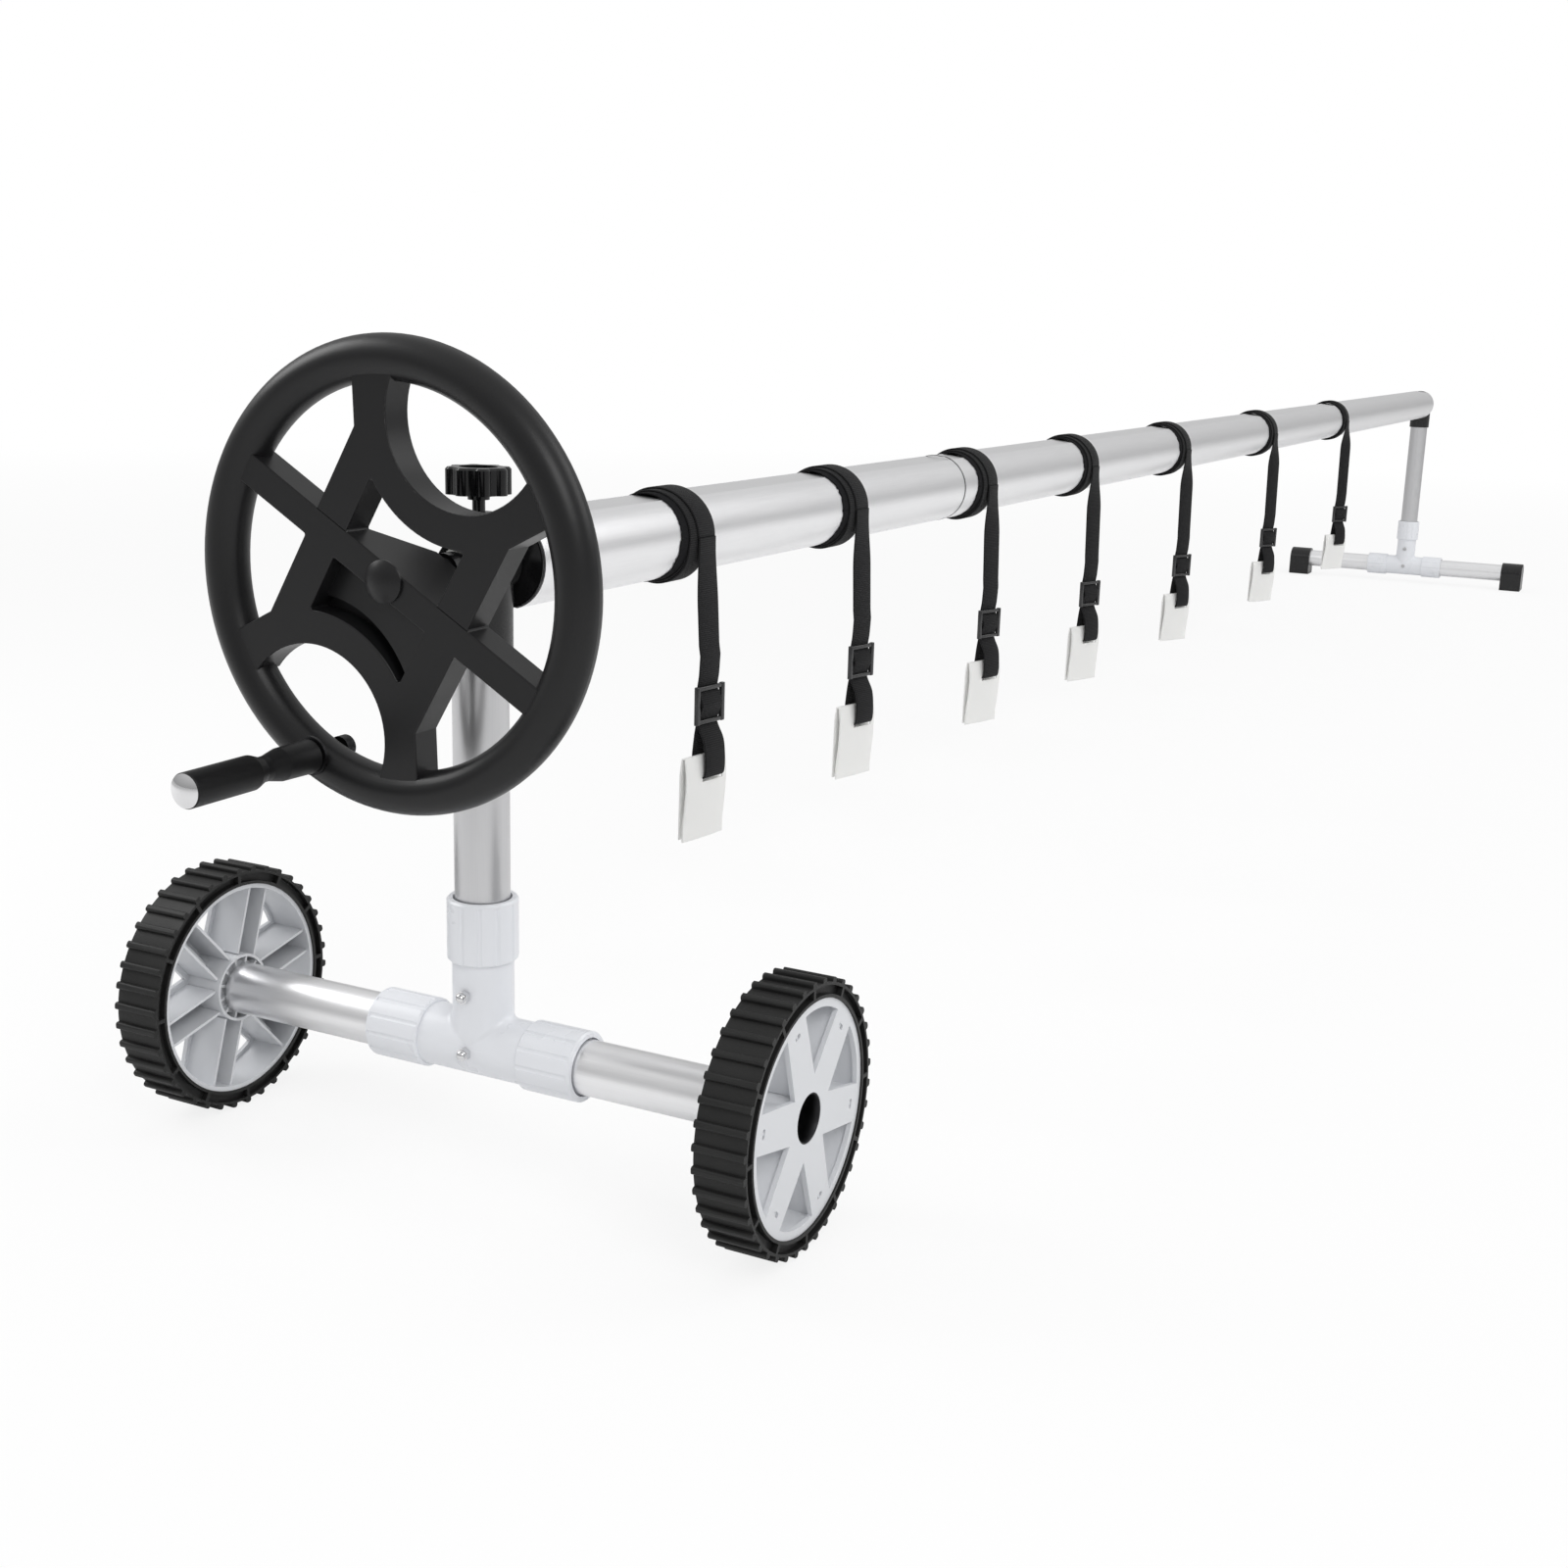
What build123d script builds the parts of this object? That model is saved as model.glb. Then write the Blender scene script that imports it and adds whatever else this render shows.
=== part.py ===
from build123d import *
import math
import os

# A rolling reel for a pool cover, in millimetres. +X runs along the roll from the
# handwheel to the far stand, +Z is up, and the origin is under the middle of the reel.

# Overall sizes
POLE_SPAN = 4528.0        # between the two poles' axes
REEL_AXIS_Z = 504.0       # height of the roll's axis over the ground
STUB_REACH = 120.0        # far drive stub, past the far pole's axis
GRIP_REACH = 257.0        # crank grip's end, past the near pole's axis
WHEEL_TRACK = 558.0       # between the road wheels' mid-planes
FOOT_SPAN = 645.0         # far foot, over its end caps

# Clearances
FIT_GAP = 0.05            # each side, between pieces that are fixed together
RUN_GAP = 0.08            # each side, where a shaft turns in a bush
FREE_GAP = 1.0            # between pieces that move past each other

# Stand tubes, tees and their collars
POLE_R = 22.5
POLE_WALL = 2.0
TEE_R = 26.0
TEE_BRANCH_R = 25.2
TEE_FILLET = 6.0
TEE_REACH = 75.0          # from the tee's centre to the end of each branch
COLLAR_R = 29.0
COLLAR_LENGTH = 52.0
COLLAR_LIP = 6.0          # seal recess in the collar's mouth
COLLAR_FLUTES = 12
FLUTE_DEPTH = 0.9
BOLT_R = 3.0
BOLT_RISE = 49.0          # from the tee's centre to the upper bolt
NUT_FLATS = 10.0
NUT_HEIGHT = 5.0
ACORN_R = 4.3
SCREW_HEAD_R = 5.0
SCREW_HEAD_HEIGHT = 2.6
SLOT_THICKNESS = 1.4      # each arm of the cross in a screw head
SLOT_SPAN = 6.4
FOOT_AXIS_Z = 46.0        # far foot tube's axis over the ground
FOOT_CAP_R = 28.5
FOOT_CAP_LENGTH = 55.0
FOOT_CAP_END = 4.0        # thickness of the cap's closed end

# Road wheels
TYRE_R = 108.9
TYRE_WIDTH = 43.0
TYRE_INNER_R = 93.0
LUG_COUNT = 38
LUG_HEIGHT = 4.4
LUG_WIDTH = 8.6
POCKET_COUNT = 12         # arc pockets round each side of a tyre
POCKET_DEPTH = 5.0
HUB_WIDTH = 40.0
HUB_WALL = 4.0
HUB_FACE = 4.0            # thickness of the hub's outer face
SPOKE_COUNT = 6
SPOKE_WIDTH = 26.0
SPOKE_TURN = -12.0        # degrees from +X to the first spoke, seen from outside
RIB_WALL = 2.4
HUB_RING_R = 30.0
HUB_BOSS_R = 24.0
HUB_EYE_R = 20.0          # round recess in the outer face
HUB_EYE_DEPTH = 20.0
AXLE_R = 10.0
AXLE_SCREW_R = 4.0
WASHER_R = 16.0
WASHER_THICKNESS = 2.0

# Roll: an extruded tube with two long channels, in two lengths
ROLL_R = 38.4
ROLL_WALL = 2.2
CHANNEL_WIDTH = 29.0
CHANNEL_DEPTH = 3.0
CHANNEL_TURN = 6.0        # degrees that the channels lie off the vertical
ROLL_END = 35.0           # from each pole's axis to the roll's end
SEAM_AT = 925.0           # from the near pole's axis to the joint between lengths
SEAM_GAP = 0.8
JOINER_LENGTH = 180.0
JOINER_WALL = 6.0
PLUG_DEPTH = 60.0         # how far an end plug goes into the roll
SHAFT_R = 14.0
SPIGOT_R = 8.0            # thinner near end of the shaft, inside the handwheel
DRIVE_STUB_R = 13.0       # far shaft's free end
DRIVE_STUB_ROUND = 6.0
TUBE_SCREW_R = 3.0

# Heads on the poles
HEAD_R = 26.0
HEAD_DROP = 64.0          # from the roll's axis to the head's lower edge
POLE_GRIP = 35.0          # length of pole held in the head
HEAD_TOP = 24.0           # from the roll's axis to the plain head's top
BUSH_R = 17.0
BUSH_LENGTH = 52.0
CLAMP_BOSS_R = 14.0
CLAMP_BOSS_TOP = 41.0     # from the roll's axis to the clamp boss's top
CLAMP_TRAVEL = 3.0
PAD_R = 9.0
PAD_GAP = 0.3             # brake pad to shaft, clamped
PAD_HEIGHT = 10.0
STUD_R = 5.0
KNOB_R = 25.5
KNOB_HEIGHT = 21.0
KNOB_BOTTOM = 55.0        # from the roll's axis to the knob's underside
KNOB_LOBES = 8

# Handwheel
WHEEL_PLANE = 104.5       # rim's mid-plane, past the near pole's axis
RIM_R = 158.8
RIM_SECTION_R = 16.8
WHEEL_TILT = -30.5        # degrees from level to the cross bar, seen from outside
PLATE_FRONT = 12.0        # spoke faces, ahead of the rim's mid-plane
PLATE_DEPTH = 26.0
PLATE_SKIN = 4.0
SPOKE_WALL = 3.2
BAR_HALF = 11.6
SPOKE_INNER = 47.0
SPOKE_OUTER = 77.0
FLARE_START = 82.0
FLARE_END = 112.0
FLARE_WIDTH = 96.0
ARC_OFFSET = 139.0        # from the hub to the centre of each round cutout
CUTOUT_R = 67.0
BAND_R = 93.0
SLOT_WIDTH = 10.0
PANEL_DROP = 14.0         # how deep the sloping panel's low side lies
PANEL_SKIN = 3.0
SLEEVE_R = 11.0
SLEEVE_END = 58.0         # sleeve's back end, behind the rim's mid-plane
GUSSET_THICKNESS = 3.0
SEAM_GROOVE = 0.7
EDGE_ROUND = 1.2
CORNER_ROUND = 1.8
HUB_CAP_R = 16.0
HUB_CAP_HEIGHT = 5.0

# Crank grip on the rim
GRIP_TURN = 243.5         # degrees round the wheel from +Y's far side, seen from outside
GRIP_OFFSET = 153.0
GRIP_R = 13.2
GRIP_WAIST_R = 9.6
GRIP_CAP_R = 12.6
GRIP_CAP_HEIGHT = 3.5
SPINDLE_R = 4.0
GRIP_WASHER_R = 15.0
GRIP_WASHER_THICKNESS = 1.6
REAR_NUT_R = 9.0
REAR_NUT_HEIGHT = 8.0
SEAT_DEPTH = 1.0          # flat cut into the rim for the washer; twice that for the nut

# Straps
STRAP_AT = (280.0, 615.0, 1000.0, 1405.0, 1895.0, 2520.0, 3225.0)
WEBBING_WIDTH = 30.0
WEBBING = 1.8
WRAP_LAYERS = 2
WRAP_SHIFT = 12.0         # outer layer's offset along the roll from the inner one
TAIL_GAP = 0.3
TWIST_TOP = 24.0          # below the roll's axis, where the tail starts to turn
TWIST_END = 100.0
FIRST_TWIST = 8.0
TWIST_STEP = 4.3
FIRST_DROP = 154.0        # roll's axis to the buckle's centre
DROP_STEP = 9.0
TAIL_LEAN = 10.0          # drift along the roll from the top to the buckle
BUCKLE_WIDTH = 42.0
BUCKLE_HEIGHT = 36.0
BUCKLE_BAR = 5.0
BUCKLE_THICKNESS = 3.6
CLIP_WIDTH = 60.0
CLIP_HEIGHT = 76.0
CLIP_LAYER = 1.8
CLIP_JAW = 7.0            # opening between the layers at the bottom
CLIP_DROP = 47.0          # buckle's centre to the clip's top edge
CLIP_SLOT = 20.0          # clip's top edge to its strap slot
CLIP_SHIFT = -8.0         # clip's centre from the tail's line

NEAR_X = GRIP_REACH - (POLE_SPAN + STUB_REACH + GRIP_REACH) / 2
FAR_X = NEAR_X + POLE_SPAN
AXIS = (0.0, REEL_AXIS_Z)
WHEEL_Y = WHEEL_TRACK / 2
WHEEL_INNER = WHEEL_Y - HUB_WIDTH / 2

nodes = {}


def add(name, *solids):
    """Keep solids as the named node."""
    nodes[name] = list(solids)


def axis_plane(axis, start, centre):
    """Plane square to a row axis at start, with centre as its other two coordinates."""
    a, b = centre
    places = {"x": (start, a, b), "y": (a, start, b), "z": (a, b, start)}
    facing = {"x": (1, 0, 0), "y": (0, 1, 0), "z": (0, 0, 1)}
    return Plane(places[axis], z_dir=facing[axis])


def rod(axis, radius, start, end, centre):
    """Solid cylinder along a row axis."""
    low, high = min(start, end), max(start, end)
    blank = Cylinder(radius, high - low, align=(Align.CENTER, Align.CENTER, Align.MIN))
    return axis_plane(axis, low, centre) * blank


def pipe(axis, outer, inner, start, end, centre):
    """Hollow cylinder along a row axis."""
    over = FREE_GAP
    low, high = min(start, end), max(start, end)
    return rod(axis, outer, low, high, centre) - rod(axis, inner, low - over, high + over, centre)


def cone(axis, radius_start, radius_end, start, end, centre):
    """Cone along a row axis, from start to end with start below end."""
    blank = Cone(radius_start, radius_end, end - start,
                 align=(Align.CENTER, Align.CENTER, Align.MIN))
    return axis_plane(axis, start, centre) * blank


def hexagon(axis, flats, start, end, centre):
    """Hexagonal prism along a row axis."""
    face = RegularPolygon(flats / 2, 6, major_radius=False)
    return extrude(axis_plane(axis, start, centre) * face, end - start)


# ---------------------------------------------------------------- stands

def collar(axis, start, end, centre):
    """Fluted nut that grips a tube: start is the tee's side, end the mouth."""
    step = 1 if end > start else -1
    body = rod(axis, COLLAR_R, start, end, centre)
    body = chamfer(body.faces().filter_by(GeomType.PLANE).edges(), 1.6)
    for index in range(COLLAR_FLUTES):
        turn = math.radians(index * 360 / COLLAR_FLUTES)
        reach = COLLAR_R + BOLT_R - FLUTE_DEPTH
        place = (centre[0] + reach * math.cos(turn), centre[1] + reach * math.sin(turn))
        body -= rod(axis, BOLT_R, start, end - step * COLLAR_LIP / 2, place)
    body -= rod(axis, POLE_R + FIT_GAP, start, end, centre)
    body -= rod(axis, POLE_R + 1.6, end - step * COLLAR_LIP, end, centre)
    tail = TEE_R - (TEE_R - POLE_R) / 2
    return body - rod(axis, tail + FIT_GAP, start, start + step * 12, centre)


def tee(x, z):
    """Three-way socket: a run along Y and a branch up."""
    spigot = TEE_R - (TEE_R - POLE_R) / 2
    body = rod("y", TEE_R, -TEE_REACH + 26, TEE_REACH - 26, (x, z))
    body += rod("z", TEE_BRANCH_R, z, z + TEE_REACH, (x, 0))
    joint = [e for e in body.edges() if e.geom_type != GeomType.CIRCLE and e.length > TEE_R]
    body = fillet([e for e in joint if e.center().Z > z], TEE_FILLET)
    body += rod("y", spigot, -TEE_REACH + 16, TEE_REACH - 16, (x, z))
    body += rod("z", spigot, z, z + TEE_REACH + 10, (x, 0))
    body -= rod("y", POLE_R + FIT_GAP, -TEE_REACH, TEE_REACH, (x, z))
    body -= rod("z", POLE_R + FIT_GAP, z + POLE_R + 4, z + TEE_REACH + 20, (x, 0))
    for rise in (0, BOLT_RISE):
        body -= rod("x", BOLT_R + FIT_GAP, x - COLLAR_R, x + COLLAR_R, (0, z + rise))
    return body


def bolt_holes(x, z, rises):
    """Cutters for the bolts that cross a tee along X."""
    return [rod("x", BOLT_R + FIT_GAP, x - COLLAR_R, x + COLLAR_R, (0, z + rise)) for rise in rises]


def stand(prefix, x, z, half_bar, head_low):
    """Pole, foot tube, tee and collars of one stand."""
    bar = pipe("y", POLE_R, POLE_R - POLE_WALL, -half_bar, half_bar, (x, z))
    pole_foot = z + POLE_R + 5
    pole = pipe("z", POLE_R, POLE_R - POLE_WALL, pole_foot, head_low + POLE_GRIP, (x, 0))
    for cutter in bolt_holes(x, z, (0,)):
        bar -= cutter
    for cutter in bolt_holes(x, z, (BOLT_RISE,)):
        pole -= cutter
    low = TEE_REACH - 26 + FIT_GAP
    add(prefix + "_base_bar", bar)
    add(prefix + "_pole", pole)
    add(prefix + "_tee", tee(x, z))
    add(prefix + "_tee_collars",
        collar("y", low, low + COLLAR_LENGTH, (x, z)),
        collar("y", -low, -low - COLLAR_LENGTH, (x, z)),
        collar("z", z + TEE_REACH + FIT_GAP, z + TEE_REACH + COLLAR_LENGTH, (x, 0)))


def acorn_bolt(x, z):
    """Bolt through a tee along X, with a domed nut on the handwheel's side."""
    face = x - TEE_R
    shank = rod("x", BOLT_R, face - NUT_HEIGHT, x + TEE_R + NUT_HEIGHT, (0, z))
    nut = hexagon("x", NUT_FLATS, face - NUT_HEIGHT, face - FIT_GAP, (0, z))
    dome = Pos(face - NUT_HEIGHT, 0, z) * Sphere(ACORN_R)
    dome &= rod("x", ACORN_R, face - NUT_HEIGHT - 2 * ACORN_R, face - NUT_HEIGHT, (0, z))
    bolt_head = hexagon("x", NUT_FLATS, x + TEE_R + FIT_GAP, x + TEE_R + NUT_HEIGHT, (0, z))
    return shank + nut + dome + bolt_head


def pan_screw(x, z):
    """Screw through a tee along X, with a cross-slotted pan head."""
    face = x - TEE_R
    pan = rod("x", SCREW_HEAD_R, face - SCREW_HEAD_HEIGHT, face - FIT_GAP, (0, z))
    pan = fillet(pan.edges().group_by(Axis.X)[0], SCREW_HEAD_HEIGHT / 2)
    for size in ((SLOT_THICKNESS, SLOT_SPAN), (SLOT_SPAN, SLOT_THICKNESS)):
        pan -= Pos(face - SCREW_HEAD_HEIGHT, 0, z) * Box(SCREW_HEAD_HEIGHT, size[0], size[1])
    return pan + rod("x", BOLT_R, face - FIT_GAP, x + TEE_R, (0, z))


def foot_cap(side):
    """Closed cap with a flat sole on the end of the far foot tube."""
    end = side * FOOT_SPAN / 2
    start = end - side * FOOT_CAP_LENGTH
    z = FOOT_AXIS_Z
    outline = Circle(FOOT_CAP_R) + Pos(0, -z / 2) * Rectangle(2 * FOOT_CAP_R, z)
    outline = fillet(outline.vertices().group_by(Axis.Y)[0], 3)
    place = Plane((FAR_X, max(start, end), z), x_dir=(1, 0, 0), z_dir=(0, -1, 0))
    body = extrude(place * outline, FOOT_CAP_LENGTH)
    body = fillet(body.faces().sort_by(Axis.Y)[-1 if side > 0 else 0].edges(), 2.5)
    return body - rod("y", POLE_R + FIT_GAP, start - side, end - side * FOOT_CAP_END, (FAR_X, z))


def head(x, top, clamp):
    """Black housing on a pole's top that carries the roll's bush."""
    low = REEL_AXIS_Z - HEAD_DROP
    body = rod("z", HEAD_R, low, REEL_AXIS_Z + top, (x, 0))
    crown = body.edges().group_by(Axis.Z)[-1]
    body = fillet(crown, 6)
    body += rod("x", BUSH_R + 5, x - BUSH_LENGTH / 2, x + BUSH_LENGTH / 2, AXIS)
    if clamp:
        body += rod("z", CLAMP_BOSS_R, REEL_AXIS_Z, REEL_AXIS_Z + CLAMP_BOSS_TOP, (x, 0))
        pocket = REEL_AXIS_Z + SHAFT_R + PAD_GAP + PAD_HEIGHT + CLAMP_TRAVEL + FREE_GAP
        body -= rod("z", PAD_R + 3 * PAD_GAP, REEL_AXIS_Z, pocket, (x, 0))
        body -= rod("z", STUD_R + RUN_GAP, pocket, REEL_AXIS_Z + CLAMP_BOSS_TOP + 1, (x, 0))
    body -= rod("x", BUSH_R + FIT_GAP, x - 2 * HEAD_R, x + 2 * HEAD_R, AXIS)
    return body - rod("z", POLE_R + FIT_GAP, low, low + POLE_GRIP + FIT_GAP, (x, 0))


def bush(x, clamp):
    """Plain bearing between a head and the roll's shaft."""
    body = pipe("x", BUSH_R, SHAFT_R + RUN_GAP, x - BUSH_LENGTH / 2, x + BUSH_LENGTH / 2, AXIS)
    if clamp:
        body -= rod("z", PAD_R + 3 * PAD_GAP, REEL_AXIS_Z, REEL_AXIS_Z + BUSH_R + 5, (x, 0))
    return body


def clamp_pieces():
    """Brake pad, and the lobed knob with its moulded-in stud."""
    pad_low = REEL_AXIS_Z + SHAFT_R + PAD_GAP
    pad_top = pad_low + PAD_HEIGHT
    pad = rod("z", PAD_R, REEL_AXIS_Z, pad_top, (NEAR_X, 0))
    pad -= rod("x", SHAFT_R + PAD_GAP, NEAR_X - 2 * PAD_R, NEAR_X + 2 * PAD_R, AXIS)
    pad = pad.solids().sort_by(Axis.Z)[-1]
    low = REEL_AXIS_Z + KNOB_BOTTOM
    lobe_r = KNOB_R * 0.25
    outline = Circle(KNOB_R - lobe_r * 0.55)
    for index in range(KNOB_LOBES):
        turn = math.radians(index * 360 / KNOB_LOBES)
        reach = KNOB_R - lobe_r
        outline += Pos(reach * math.cos(turn), reach * math.sin(turn)) * Circle(lobe_r)
    knob = extrude(Plane((NEAR_X, 0, low)) * outline, KNOB_HEIGHT)
    knob = chamfer(knob.edges().group_by(Axis.Z)[-1], 1.6)
    knob -= rod("z", KNOB_R * 0.58, low + KNOB_HEIGHT - 2, low + KNOB_HEIGHT, (NEAR_X, 0))
    knob += rod("z", STUD_R + 3.5, low - 4, low, (NEAR_X, 0))
    knob += rod("z", STUD_R, pad_top, low, (NEAR_X, 0))
    add("brake_pad", pad)
    add("lock_knob", knob)


# ---------------------------------------------------------------- road wheels

def wheel_plane(side):
    """Plane at a road wheel's middle: its Z points out of the reel, its Y up."""
    return Plane((NEAR_X, side * WHEEL_Y, TYRE_R), x_dir=(-side, 0, 0), z_dir=(0, side, 0))


def disc(radius, low, high):
    """Cylinder about the local Z axis, from low to high."""
    return Pos(0, 0, low) * Cylinder(radius, high - low, align=(Align.CENTER, Align.CENTER, Align.MIN))


def hub():
    """Moulded wheel: barrel, spoked outer face, boxed spokes and a bored boss."""
    half = HUB_WIDTH / 2
    inner = TYRE_INNER_R - HUB_WALL
    body = disc(TYRE_INNER_R - FIT_GAP, -half, half) - disc(inner, -half, half)
    cover = Circle(inner + 1)
    for index in range(SPOKE_COUNT):
        window = Polygon((HUB_RING_R + 4, 0), (inner - 3, -32), (inner + 12, 0), (inner - 3, 32), align=None)
        window &= Circle(inner - 3)
        cover -= Rot(0, 0, SPOKE_TURN + (index + 0.5) * 360 / SPOKE_COUNT) * window
        cover -= Rot(0, 0, SPOKE_TURN + index * 360 / SPOKE_COUNT) * Pos(inner - 12, 0) * SlotOverall(8, 4, 90)
    body += extrude(Pos(0, 0, half - HUB_FACE) * cover, HUB_FACE)
    body += disc(HUB_BOSS_R, -half + 6, half)
    body += disc(HUB_RING_R, -half, half - HUB_FACE) - disc(HUB_RING_R - RIB_WALL, -half, half)
    wall_low = -half + 3
    length = inner - HUB_RING_R + 1.5
    for index in range(SPOKE_COUNT):
        turn = Rot(0, 0, SPOKE_TURN + index * 360 / SPOKE_COUNT)
        for offset in (-SPOKE_WIDTH / 2 + RIB_WALL, 0, SPOKE_WIDTH / 2 - RIB_WALL):
            depth = half - wall_low - 1 if offset else half - 4
            rib = Box(length, RIB_WALL, depth, align=(Align.MIN, Align.CENTER, Align.MAX))
            body += turn * Pos(HUB_RING_R - 1, offset, half - 1) * rib
        fin = Box(HUB_RING_R - 13, RIB_WALL, 2 * half - 8, align=(Align.MIN, Align.CENTER, Align.MAX))
        for share in (0.0, 0.5):
            body += Rot(0, 0, SPOKE_TURN + (index + share) * 360 / SPOKE_COUNT) * Pos(12, 0, half - 6) * fin
    body -= disc(HUB_EYE_R, half - HUB_EYE_DEPTH, half)
    return body - disc(AXLE_R + RUN_GAP, -half - 1, half)


def tyre():
    """Ribbed tyre: a ring with cross lugs and shallow arc pockets in its sides."""
    half = TYRE_WIDTH / 2
    tread = TYRE_R - LUG_HEIGHT
    body = disc(tread, -half, half) - disc(TYRE_INNER_R, -half - 1, half + 1)
    outline = Circle(tread + 0.5)
    lug = RectangleRounded(2 * LUG_HEIGHT, LUG_WIDTH * 0.72, LUG_WIDTH * 0.25)
    for index in range(LUG_COUNT):
        outline += Rot(0, 0, -90 + index * 360 / LUG_COUNT) * Pos(TYRE_R - LUG_HEIGHT, 0) * lug
    body += extrude(Pos(0, 0, -half) * (outline - Circle(tread - 2)), TYRE_WIDTH)
    span = 360 / POCKET_COUNT
    pocket = Circle(tread - 1.8) - Circle(TYRE_INNER_R + 2.6)
    for index in range(POCKET_COUNT):
        pocket -= Rot(0, 0, index * span) * Rectangle(4 * TYRE_R, 3.4)
    for low in (-half, half - POCKET_DEPTH):
        body -= extrude(Pos(0, 0, low) * pocket, POCKET_DEPTH)
    return body


def axle(side):
    """Plug in the base bar's end, with the stub that the wheel turns on."""
    bar_end = WHEEL_INNER - FREE_GAP
    stub_end = WHEEL_Y + HUB_WIDTH / 2 - HUB_EYE_DEPTH + 0.4
    centre = (NEAR_X, TYRE_R)
    plug = rod("y", POLE_R - POLE_WALL - FIT_GAP, side * (bar_end - 42), side * bar_end, centre)
    plug += rod("y", AXLE_R, side * (bar_end - 1), side * stub_end, centre)
    return plug - rod("y", AXLE_SCREW_R + FIT_GAP, side * (stub_end - 30), side * stub_end, centre)


def axle_fastener(side):
    """Washer and screw that keep a wheel on its stub."""
    face = WHEEL_Y + HUB_WIDTH / 2 - HUB_EYE_DEPTH + 0.4 + FIT_GAP
    centre = (NEAR_X, TYRE_R)
    washer = rod("y", WASHER_R, side * face, side * (face + WASHER_THICKNESS), centre)
    screw = rod("y", AXLE_SCREW_R, side * (face - 28), side * face, centre)
    top = face + WASHER_THICKNESS
    ends = sorted((side * top, side * (top + 5)))
    return washer + screw + hexagon("y", 13.0, ends[0], ends[1], centre)


# ---------------------------------------------------------------- roll

def roll_section(radius, wall, clearance):
    """Round section with two channels; wall sinks the channels' floor inwards."""
    face = Circle(radius)
    floor = ROLL_R - CHANNEL_DEPTH - wall - clearance
    width = CHANNEL_WIDTH + 2 * (wall + clearance)
    for side in (1, -1):
        face -= Pos(0, side * (floor + radius / 2)) * Rectangle(width, radius)
    return Rot(0, 0, CHANNEL_TURN) * face


def along_roll(face, start, length):
    """Extrude a section from start along the roll's axis."""
    place = Plane((start, 0, REEL_AXIS_Z), x_dir=(0, 1, 0), z_dir=(1, 0, 0))
    return extrude(place * face, length)


def roll_tube(start, end):
    """One length of the channelled tube."""
    bore = roll_section(ROLL_R - ROLL_WALL, ROLL_WALL, 0)
    return along_roll(roll_section(ROLL_R, 0, 0) - bore, start, end - start)


def filler(start, length):
    """Solid that fills the roll's bore."""
    return along_roll(roll_section(ROLL_R - ROLL_WALL - FIT_GAP, ROLL_WALL, FIT_GAP), start, length)


def end_plug(pole_x, inward, stub_end):
    """Plug in one end of the roll: filler, domed flange, cone and shaft."""
    tube_end = pole_x + inward * ROLL_END
    start = tube_end if inward > 0 else tube_end - PLUG_DEPTH
    body = filler(start, PLUG_DEPTH)
    rim = tube_end - inward * 2.5
    tip = pole_x + inward * (BUSH_LENGTH / 2 + FREE_GAP)
    body += rod("x", ROLL_R - 1.2, tube_end, rim, AXIS)
    if inward > 0:
        body += cone("x", SHAFT_R + 3, ROLL_R - 2.5, tip, rim, AXIS)
    else:
        body += cone("x", ROLL_R - 2.5, SHAFT_R + 3, rim, tip, AXIS)
    body += rod("x", SHAFT_R, rim, stub_end, AXIS)
    return body


def screw_down(x, turn):
    """Countersunk-style tube screw set into the roll's wall."""
    shank = Cylinder(TUBE_SCREW_R, 12, align=(Align.CENTER, Align.CENTER, Align.MAX))
    cap = Cylinder(2 * TUBE_SCREW_R, 1.8, align=(Align.CENTER, Align.CENTER, Align.MIN))
    place = Pos(x, 0, REEL_AXIS_Z) * Rot(turn, 0, 0) * Pos(0, 0, ROLL_R - CHANNEL_DEPTH)
    return place * Pos(0, 0, FIT_GAP) * (shank + cap)


def screw_bore(x, turn):
    """Hole for a tube screw through the roll's wall and into what fills it."""
    place = Pos(x, 0, REEL_AXIS_Z) * Rot(turn, 0, 0) * Pos(0, 0, ROLL_R - CHANNEL_DEPTH - 13)
    return place * Cylinder(TUBE_SCREW_R + FIT_GAP, 26, align=(Align.CENTER, Align.CENTER, Align.MIN))


# ---------------------------------------------------------------- handwheel

def hand_plane():
    """Plane at the rim's middle: Z points at the user, X along the cross bar."""
    turn = math.radians(WHEEL_TILT)
    return Plane((NEAR_X - WHEEL_PLANE, 0, REEL_AXIS_Z),
                 x_dir=(0, -math.cos(turn), math.sin(turn)), z_dir=(-1, 0, 0))


def window_face(side):
    """Window between the bar, two spokes and a curved band."""
    face = Pos(0, side * (BAR_HALF + 30)) * Rectangle(2 * SPOKE_INNER, 60)
    return face - Pos(0, side * ARC_OFFSET) * Circle(BAND_R)


def spoke_face():
    """Outline of everything inside the rim."""
    edge = [(FLARE_WIDTH, -RIM_R), (FLARE_WIDTH, -FLARE_END), (SPOKE_OUTER, -FLARE_START)]
    right = edge + [(x, -y) for x, y in reversed(edge)]
    left = [(-x, y) for x, y in reversed(right)]
    face = Polygon(*right, *left, align=None)
    face += Rectangle(2 * RIM_R, 2 * BAR_HALF)
    for side in (1, -1):
        face -= Pos(0, side * ARC_OFFSET) * Circle(CUTOUT_R)
        face -= window_face(side)
    face &= Circle(RIM_R - RIM_SECTION_R * 0.6)
    return fillet(face.vertices(), CORNER_ROUND)


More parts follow.
